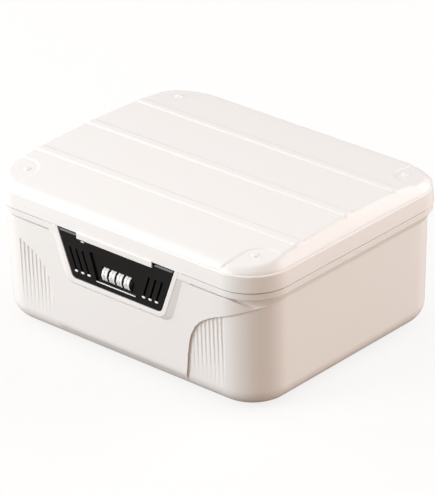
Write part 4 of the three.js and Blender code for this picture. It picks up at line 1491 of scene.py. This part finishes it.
        places = [near - PLAN.half_depth for near, _ in self.raised_profile]
        places += [-bend_y - 1.5, -bend_y]
        flow = [(bend_x + math.sqrt(sweep ** 2 - min(y + bend_y, 0.0) ** 2), y) for y in places]
        front = (
            flow + [(cx - bite, y) for y in (-bend_y + 3.0, -bend_y + 6.0)]
            + arc(cx, -cy, bite, 2 * quarter, -quarter, 22)
            + arc(hx - turn, -cy + bite + turn, turn, -quarter, quarter, 8))
        return front + [(hx, y) for y in self.rows()] + [(x, -y) for x, y in reversed(front)]

    def panel(self) -> bpy.types.Object:
        """Grows the raised panel from its foot over an eased edge, and closes it with strips.

        Returns:
            The panel.
        """
        rings = []
        for inset, sink in self.edge_profile:
            right = [(x, y, self.lift(x, y, inset, sink)) for x, y in self.panel_half(inset)]
            rings.append(right + [(-x, y, z) for x, y, z in reversed(right)])
        return self.bench.grow("panel", rings, Cap.STRIPS)

    def pips(self) -> list[bpy.types.Object]:
        """Makes the four corner pips, each a low dome.

        Returns:
            The pips.
        """
        pips = []
        for sx in (-1, 1):
            for sy in (-1, 1):
                x, y = sx * (PLAN.half_width - self.pip_x), sy * (PLAN.half_depth - self.pip_y)
                pips.append(self.bench.dome(
                    (x, y, self.top_edge + self.crown(y)), self.pip_radius,
                    (1.0, 1.0, self.pip_height / self.pip_radius), 32))
        return pips

    def tab(self) -> list[bpy.types.Object]:
        """Makes the front tab and the two hooks behind it.

        Returns:
            The tab and its hooks.
        """
        face, back = -(PLAN.half_depth + LATCH.tab_proud), LATCH.face - LATCH.fit
        foot, half = LATCH.tab_foot, 1.8
        pieces = [self.bench.block(
            "tab", (-self.tab_half, face, foot), (self.tab_half, back, PLAN.seam + 1.0), 0.6)]
        for x in (-LATCH.hook_x, LATCH.hook_x):
            pieces.append(self.bench.block(
                "hook", (x - half, back - 1, foot + 0.3), (x + half, back + 1, foot + 2.3), 0.2))
        return pieces

    def arms(self) -> list[bpy.types.Object]:
        """Makes the two hinge arms with their bored knuckles.

        Returns:
            The arms.
        """
        bench = self.bench
        arms = []
        for middle in (-HINGE.middle, HINGE.middle):
            left, right = middle - HINGE.arm_half, middle + HINGE.arm_half
            arm = bench.block(
                "arm", (left, PLAN.half_depth - HINGE.arm_depth, HINGE.at[1]),
                (right, PLAN.half_depth, PLAN.seam + 1))
            knuckle = bench.cross_rod("knuckle", HINGE.knuckle_radius, left, right, HINGE.at, 40)
            bore = bench.cross_rod("bore", HINGE.pin_radius, left - 1, right + 1, HINGE.at, 24)
            bench.combine(arm, [knuckle], Join.ADD)
            bench.combine(arm, [bore], Join.CUT)
            bench.soften(arm, 0.25)
            arms.append(arm)
        return arms

    def build(self) -> bpy.types.Object:
        """Models the lid and dresses it.

        Returns:
            The lid.
        """
        bench = self.bench
        lid = self.shell()
        bench.combine(lid, self.tab(), Join.ADD)
        lid = bench.merge("lid_moulding", [lid, self.panel(), *self.pips(), *self.arms()])
        bench.clean(lid)
        bench.shade(lid, 32.0)
        return bench.dress(lid, self.finishes.shell, Body.LID.value, "shell", "lid_shell")


# The latch


@dataclass
class PressLatch:
    """The black press plate with its pocket, slots and the parts behind it, and white pieces on it
    that are painted highlights.
    """

    bench: Bench
    finishes: Finishes
    pocket_top_half: float = 25.0
    pocket_bottom_half: float = 18.6
    pocket_top: float = 81.8
    pocket_bottom: float = 60.8
    pocket_depth: float = 1.5
    slot_width: float = 1.7
    slot_top: float = 79.2
    slot_bottom: float = 64.0
    slot_first: float = 31.4
    slot_pitch: float = 6.0
    slot_lean: float = 5.4
    window_half_width: float = 14.5
    window_half_height: float = 5.9
    notch_half: float = 2.15
    lug_half: float = 1.5
    lug_bore: float = 1.15
    peg_at: Point2 = (30.0, 84.5)
    peg_radius: float = 1.5
    # Painted highlights: a white glint under the tab's left end, and the ends of a white strip
    # along the pocket's lower edge
    tab_mark_at: Point2 = (-31.0, 87.1)
    line_low: Point2 = (-18.8, 60.15)
    line_high: Point2 = (18.1, 60.95)

    def slots(self) -> list[bpy.types.Object]:
        """Grows the cutters of the six slanted slots.

        Returns:
            The cutters.
        """
        half = self.slot_width / 2
        cutters = []
        for side in (-1, 1):
            for i in range(3):
                top = side * (self.slot_first + i * self.slot_pitch)
                foot = top - side * self.slot_lean
                a, b = Vector((foot, self.slot_bottom)), Vector((top, self.slot_top))
                along = (b - a).normalized()
                across = Vector((-along.y, along.x)) * half
                outline = []
                for end, sign in ((b, 1), (a, -1)):
                    for k in range(9):
                        angle = -math.pi / 2 + math.pi * k / 8
                        outline.append(end + sign * (
                            along * math.cos(angle) * half + across * math.sin(angle)))
                points = [(p.x, p.y) for p in outline]
                cutters.append(self.bench.grow(
                    "slot", [upright(points, LATCH.face - 1), upright(points, LATCH.back + 1)]))
        return cutters

    def cutters(self) -> list[bpy.types.Object]:
        """Makes all that is cut out of the plate: the dials' pocket and window, slots and notches.

        Returns:
            The cutters.
        """
        bench = self.bench
        outline = trapezoid(
            self.pocket_top_half, self.pocket_bottom_half, self.pocket_top, self.pocket_bottom,
            1.0, 1.0)
        pocket = bench.grow("pocket", [
            upright(outline, LATCH.face - 1), upright(outline, LATCH.face + self.pocket_depth)])
        middle, half = LATCH.dial_height, self.window_half_height
        window = bench.block(
            "window", (-self.window_half_width, LATCH.face, middle - half),
            (self.window_half_width, LATCH.back + 1, middle + half))
        tools = [pocket, window, *self.slots()]
        for x in (-LATCH.hook_x, LATCH.hook_x):
            tools.append(bench.block(
                "notch", (x - self.notch_half, LATCH.face - 1, LATCH.tab_foot),
                (x + self.notch_half, LATCH.face + 1, LATCH.top + 1)))
        return tools

    def plate(self) -> bpy.types.Object:
        """Models the plate: grown from its outline, cut, and given its lugs and spring pegs.

        Returns:
            The plate.
        """
        bench = self.bench
        # Each row: how far the flanks move outward, how far the top edge moves up, and the depth
        rows = (
            (0.0, 0.0, LATCH.back), (0.0, -0.1, LATCH.face + 0.75),
            (-0.12, -0.75, LATCH.face + 0.3), (-0.5, -1.2, LATCH.face))
        plate = bench.grow("press_plate", [
            upright(LATCH.outline(grow, grow, LATCH.top + drop), y) for grow, drop, y in rows])
        bench.combine(plate, self.cutters(), Join.CUT)
        bench.clean(plate)
        bench.soften(plate, 0.16, 40.0)
        extras = []
        root, (pivot_y, pivot_z), half = LATCH.back - 0.35, LATCH.pivot, LATCH.pivot_half
        for side in (-1, 1):
            middle = side * LATCH.pivot_x
            left, right = middle - self.lug_half, middle + self.lug_half
            lug = bench.block(
                "lug", (left, root, pivot_z - half), (right, pivot_y, pivot_z + half))
            eye = bench.cross_rod("eye", half, left, right, LATCH.pivot)
            bore = bench.cross_rod("bore", self.lug_bore, middle - 3, middle + 3, LATCH.pivot, 24)
            bench.combine(lug, [eye], Join.ADD)
            bench.combine(lug, [bore], Join.CUT)
            x, z = side * self.peg_at[0], self.peg_at[1]
            peg = bench.rod(
                "peg", self.peg_radius, (x, root, z), (x, LATCH.back + 1.5, z), 24, 0.2)
            extras += [lug, peg]
        plate = bench.merge("press_plate", [plate, *extras])
        bench.shade(plate, 30.0)
        return bench.dress(plate, self.finishes.plate, Body.LATCH.value, "plate", "lock_plate")

    def oval(self, at: Point2, halves: Point3) -> bpy.types.Object:
        """Adds a white oval, given by its half sizes, on the plate's face, as a painted highlight.
        """
        return self.bench.dome((at[0], LATCH.face, at[1]), 1.0, halves, 24)

    def marks(self) -> bpy.types.Object:
        """Makes the painted highlights: white ovals for the glints at the slots' feet and under the
        tab, and a white strip for the highlight along the pocket's lower edge.

        Returns:
            The white pieces of painted highlight.
        """
        bench = self.bench
        glint_pieces = []
        # White ovals painted as the glints at the slots' feet and under the tab
        for side in (-1, 1):
            for i in range(3):
                x = side * (self.slot_first + i * self.slot_pitch - self.slot_lean - 0.2)
                glint_pieces.append(self.oval((x, self.slot_bottom - 1.3), (1.65, 0.35, 0.85)))
        glint_pieces.append(self.oval(self.tab_mark_at, (1.7, 0.3, 0.55)))
        # A white strip painted as the highlight along the pocket's lower edge
        (left, low), (right, high) = self.line_low, self.line_high
        glint_pieces.append(bench.block(
            "line", (left, LATCH.face - 0.1, low), (right, LATCH.face + 0.3, high), 0.1))
        marks = bench.merge("white_highlight_pieces", glint_pieces)
        bench.shade(marks, 40.0)
        return bench.dress(marks, self.finishes.dial, Body.LATCH.value, "dial")

    def build(self) -> None:
        """Models the plate and the white pieces that paint its highlights."""
        self.plate()
        self.marks()


@dataclass
class CodeDials:
    """The four white dials with their printed digits, and black rings of painted shade at their
    ends.
    """

    bench: Bench
    finishes: Finishes
    count: int = 4
    pitch: float = 6.94
    radius: float = 6.0
    sink: float = 4.9
    width: float = 5.4
    digit_height: float = 2.9
    digit_rows: int = 9
    digit_stretch: float = 1.15
    # Share of the letter size that a digit is high
    cap_share: float = 0.7
    ink_stand: float = 0.03
    # Thin black rings on the dials' ends: painted shade for the gaps between the dials
    cheek_radius: float = 5.85
    cheek_bore: float = 2.7
    cheek_thickness: float = 0.12

    @property
    def axle(self) -> Point2:
        """Depth and height of the dials' axle."""
        return LATCH.face + self.sink, LATCH.dial_height

    def middle(self, dial: int) -> float:
        """Place of a dial across the width."""
        return (dial - (self.count - 1) / 2) * self.pitch

    def digit(self, number: int) -> bpy.types.Object:
        """Writes one digit, cuts it into narrow rows and wraps it round the drum.

        Args:
            number: The digit, which also gives its turn round the drum.

        Returns:
            The digit in the middle of the box.
        """
        bench = self.bench
        bench.rest()
        bpy.ops.object.text_add()
        text = bpy.context.object
        text.data.body = str(number)
        text.data.align_x = "CENTER"
        text.data.align_y = "CENTER"
        text.data.size = self.digit_height / self.cap_share * MM
        text.data.resolution_u = 3
        bpy.ops.object.convert(target="MESH")
        digit = bpy.context.object
        bench.edit(digit)
        last = self.digit_rows // 2
        for i in range(-last, last + 1):
            bpy.ops.mesh.select_all(action="SELECT")
            bpy.ops.mesh.bisect(
                plane_co=(0, i * self.digit_height / self.digit_rows * MM, 0), plane_no=(0, 1, 0))
        bpy.ops.object.mode_set(mode="OBJECT")
        low = min(v.co.y for v in digit.data.vertices)
        high = max(v.co.y for v in digit.data.vertices)
        reach = (self.radius + self.ink_stand) * MM
        turn = number * math.tau / 10
        axle_y, axle_z = self.axle
        for vertex in digit.data.vertices:
            angle = (vertex.co.y - (low + high) / 2) / reach + turn
            vertex.co = Vector((
                vertex.co.x * self.digit_stretch, axle_y * MM - reach * math.cos(angle),
                (axle_z + FOOT_STAND) * MM + reach * math.sin(angle)))
        return digit

    def digits(self, dial: int, master: bpy.types.Object) -> bpy.types.Object:
        """Copies the printed digits onto one dial.

        Args:
            dial: The dial's number from 0.
            master: All ten digits in the middle of the box.

        Returns:
            The dial's digits.
        """
        ink = linked(f"dial_digits_{dial + 1}", master.data.copy())
        ink.data.transform(Matrix.Translation((self.middle(dial) * MM, 0, 0)))
        return self.bench.dress(ink, self.finishes.ink, f"dial_{dial + 1}", "dial")

    def cheeks(self, dial: int) -> bpy.types.Object:
        """Makes the black ring on each end of one dial, painted shade that darkens the narrow gap
        between neighbouring dials.

        Args:
            dial: The dial's number from 0.

        Returns:
            Both rings.
        """
        bench = self.bench
        middle, half = self.middle(dial), self.width / 2
        rings = []
        for side in (-1, 1):
            near, far = sorted((
                middle + side * half, middle + side * (half + self.cheek_thickness)))
            ring = bench.cross_rod("shade_ring", self.cheek_radius, near, far, self.axle, 64)
            bore = bench.cross_rod("bore", self.cheek_bore, near - 1, far + 1, self.axle)
            bench.combine(ring, [bore], Join.CUT)
            rings.append(ring)
        cheeks = bench.merge(f"dial_shade_rings_{dial + 1}", rings)
        bench.shade(cheeks, 30.0)
        # The dark nylon finish on these rings is painted shade, not a moulded part
        return bench.dress(cheeks, self.finishes.inner, f"dial_{dial + 1}", "inner")

    def build(self) -> None:
        """Prints the digits of the dials and makes their black ends, painted shade for the gaps
        between them.
        """
        master = self.bench.merge("digits", [self.digit(number) for number in range(10)])
        for dial in range(self.count):
            self.digits(dial, master)
            self.cheeks(dial)
        bpy.data.objects.remove(master)


@dataclass
class RefinedParts:
    """Smaller parts: each CAD solid is copied, merged, and given the real part's small radii."""

    bench: Bench
    finishes: Finishes

    def refine(self, node: str, body: str, slot: str, radius_mm: float) -> bpy.types.Object:
        """Copies one CAD solid, rounds its edges and dresses the copy.

        Args:
            node: The CAD node.
            body: The body that it rides on.
            slot: The material slot, which is also the finish's name.
            radius_mm: Radius of its edges.

        Returns:
            The refined piece.
        """
        piece = linked(f"{node}_finished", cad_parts[node].data.copy())
        self.bench.clean(piece, 0.5)
        if radius_mm:
            self.bench.soften(piece, radius_mm, 40.0)
        self.bench.shade(piece, 35.0)
        return self.bench.dress(piece, getattr(self.finishes, slot), body, slot, node)

    def build(self) -> None:
        """Refines every part that the shells and the plate leave."""
        for i in range(1, 5):
            self.refine(f"code_wheel_{i}", f"dial_{i}", "dial", 0.12)
            self.refine(f"cam_disc_{i}", f"dial_{i}", "inner", 0.0)
            self.refine(f"rubber_foot_{i}", Body.TUB.value, "rubber", 0.5)
            self.refine(f"cover_screw_{i}", Body.TUB.value, "steel", 0.15)
            self.refine(f"carrier_screw_{i}", Body.LATCH.value, "steel", 0.1)
        for side in ("left", "right"):
            self.refine(f"hinge_pin_{side}", Body.TUB.value, "steel", 0.15)
            self.refine(f"latch_pivot_pin_{side}", Body.TUB.value, "steel", 0.12)
            self.refine(f"latch_spring_{side}", Body.TUB.value, "steel", 0.0)
            self.refine(f"comb_screw_{side}", Body.TUB.value, "steel", 0.1)
            self.refine(f"shaft_clip_{side}", Body.LATCH.value, "steel", 0.08)
        self.refine("wheel_carrier", Body.LATCH.value, "inner", 0.2)
        self.refine("wheel_shaft", Body.LATCH.value, "steel", 0.2)
        self.refine("detent_spring", Body.LATCH.value, "steel", 0.0)
        self.refine("lock_cover", Body.TUB.value, "inner", 0.4)
        self.refine("blocking_comb", Body.TUB.value, "steel", 0.1)
        self.refine("reset_button", Body.BUTTON.value, "button", 0.3)
        self.refine("reset_spring", Body.TUB.value, "steel", 0.0)


# The studio


@dataclass
class Studio:
    """A pale floor, soft lights and the camera at the photograph's angle."""

    camera_at: Point3 = (1534.04, -1698.66, 1204.03)
    azimuth: float = 42.0779
    elevation: float = 26.722
    roll: float = 1.29
    lens: float = 261.3
    sensor: float = 36.0
    view_end: float = 20.0
    room: str = "#FFF4ED"
    room_strength: float = 0.32
    # The paper as it lights the box, as it is seen, and how far it glows white to the camera
    bounce: str = "#9C8F85"
    paper: str = "#F2EFEB"
    paper_glow: float = 0.8
    floor_size: float = 12.0
    aim_at: Point3 = (0.0, 0.0, 0.05)
    # Softboxes: name, place and size in metres, watts and colour
    lamps: tuple[tuple[str, Point3, float, float, str], ...] = (
        ("left_softbox", (-2.4, -0.42, 0.9), 1.4, 33.0, "#FFFFFF"),
        ("front_softbox", (-1.25, -1.95, 0.95), 1.4, 53.0, "#F2F9FF"),
        ("back_softbox", (1.3, 1.6, 0.8), 2.4, 56.0, "#F4F9FF"),
        ("top_softbox", (0.0, 0.1, 2.0), 1.0, 4.0, "#FFFFFF"),
        ("warm_bounce", (2.1, 0.1, 0.5), 1.4, 8.0, "#FFBE7A"),
    )

    def camera(self) -> None:
        """Sets the camera up at the fitted place and angle."""
        data = bpy.data.cameras.new("photo_camera")
        data.lens = self.lens
        data.sensor_width = self.sensor
        data.clip_end = self.view_end
        camera = linked("photo_camera", data)
        azimuth, elevation, roll = (
            math.radians(a) for a in (self.azimuth, self.elevation, self.roll))
        right = Vector((math.cos(azimuth), math.sin(azimuth), 0))
        back = Vector((
            math.sin(azimuth) * math.cos(elevation), -math.cos(azimuth) * math.cos(elevation),
            math.sin(elevation)))
        up = back.cross(right)
        across = right * math.cos(roll) - up * math.sin(roll)
        upward = right * math.sin(roll) + up * math.cos(roll)
        turn = Matrix((across, upward, back)).transposed().to_4x4()
        camera.matrix_world = Matrix.Translation(placed(self.camera_at)) @ turn
        bpy.context.scene.camera = camera

    def lamp(self, name: str, place: Point3, size: float, watts: float, colour: str) -> None:
        """Hangs one square softbox and aims it at the box.

        Args:
            name: The lamp's name.
            place: Its place in metres.
            size: Its edge in metres.
            watts: Its power.
            colour: Its colour as a hex code.
        """
        data = bpy.data.lights.new(name, "AREA")
        data.shape = "SQUARE"
        data.size = size
        data.energy = watts
        data.color = linear(colour)[:3]
        lamp = linked(name, data)
        aim = (Vector(self.aim_at) - Vector(place)).to_track_quat("-Z", "Y")
        lamp.matrix_world = Matrix.Translation(Vector(place)) @ aim.to_matrix().to_4x4()

    def world(self) -> None:
        """Lights the scene evenly and shows the camera a white background."""
        world = bpy.data.worlds.new("studio")
        world.use_nodes = True
        tree = world.node_tree
        tree.nodes.clear()
        seen = add_node(tree, "ShaderNodeLightPath").outputs["Is Camera Ray"]
        room = add_node(
            tree, "ShaderNodeBackground",
            {"Color": linear(self.room), "Strength": self.room_strength})
        white = add_node(
            tree, "ShaderNodeBackground", {"Color": linear("#FFFFFF"), "Strength": 1.0})
        mixed = add_node(tree, "ShaderNodeMixShader", None, {
            0: seen, 1: room.outputs["Background"], 2: white.outputs["Background"]})
        add_node(tree, "ShaderNodeOutputWorld", None, {"Surface": mixed.outputs["Shader"]})
        bpy.context.scene.world = world

    def floor(self) -> None:
        """Lays a pale paper floor that shows white to the camera and keeps a soft shadow."""
        bpy.ops.object.select_all(action="DESELECT")
        bpy.ops.mesh.primitive_plane_add(size=self.floor_size)
        floor = bpy.context.object
        floor.name = "floor"
        material, tree = blank_material("paper_sweep_white")
        seen = add_node(tree, "ShaderNodeLightPath").outputs["Is Camera Ray"]
        share = add_node(
            tree, "ShaderNodeMath", {"operation": "MULTIPLY", 1: self.paper_glow}, {0: seen})
        tone = add_node(
            tree, "ShaderNodeMix",
            {"data_type": "RGBA", MIX_FIRST: linear(self.bounce), MIX_SECOND: linear(self.paper)},
            {"Factor": seen})
        paper = add_node(tree, "ShaderNodeBsdfDiffuse", None, {"Color": tone.outputs[MIX_RESULT]})
        glow = add_node(
            tree, "ShaderNodeEmission", {"Color": linear("#FFFFFF"), "Strength": 1.0})
        mixed = add_node(tree, "ShaderNodeMixShader", None, {
            0: share.outputs[0], 1: paper.outputs["BSDF"], 2: glow.outputs["Emission"]})
        add_node(tree, "ShaderNodeOutputMaterial", None, {"Surface": mixed.outputs["Shader"]})
        floor.data.materials.append(material)

    def build(self) -> None:
        """Sets the whole studio up."""
        self.camera()
        self.world()
        self.floor()
        for lamp in self.lamps:
            self.lamp(*lamp)
        bpy.context.scene.view_settings.view_transform = "Standard"


def main() -> None:
    """Builds the studio and every piece in order."""
    logging.basicConfig(level=logging.INFO, format="%(name)s: %(message)s")
    bench = Bench()
    Studio().build()
    finishes = Finishes()
    TubMoulding(bench, finishes).build()
    LidMoulding(bench, finishes).build()
    PressLatch(bench, finishes).build()
    CodeDials(bench, finishes).build()
    RefinedParts(bench, finishes).build()
    bench.rest()


if __name__ == "__main__":
    main()
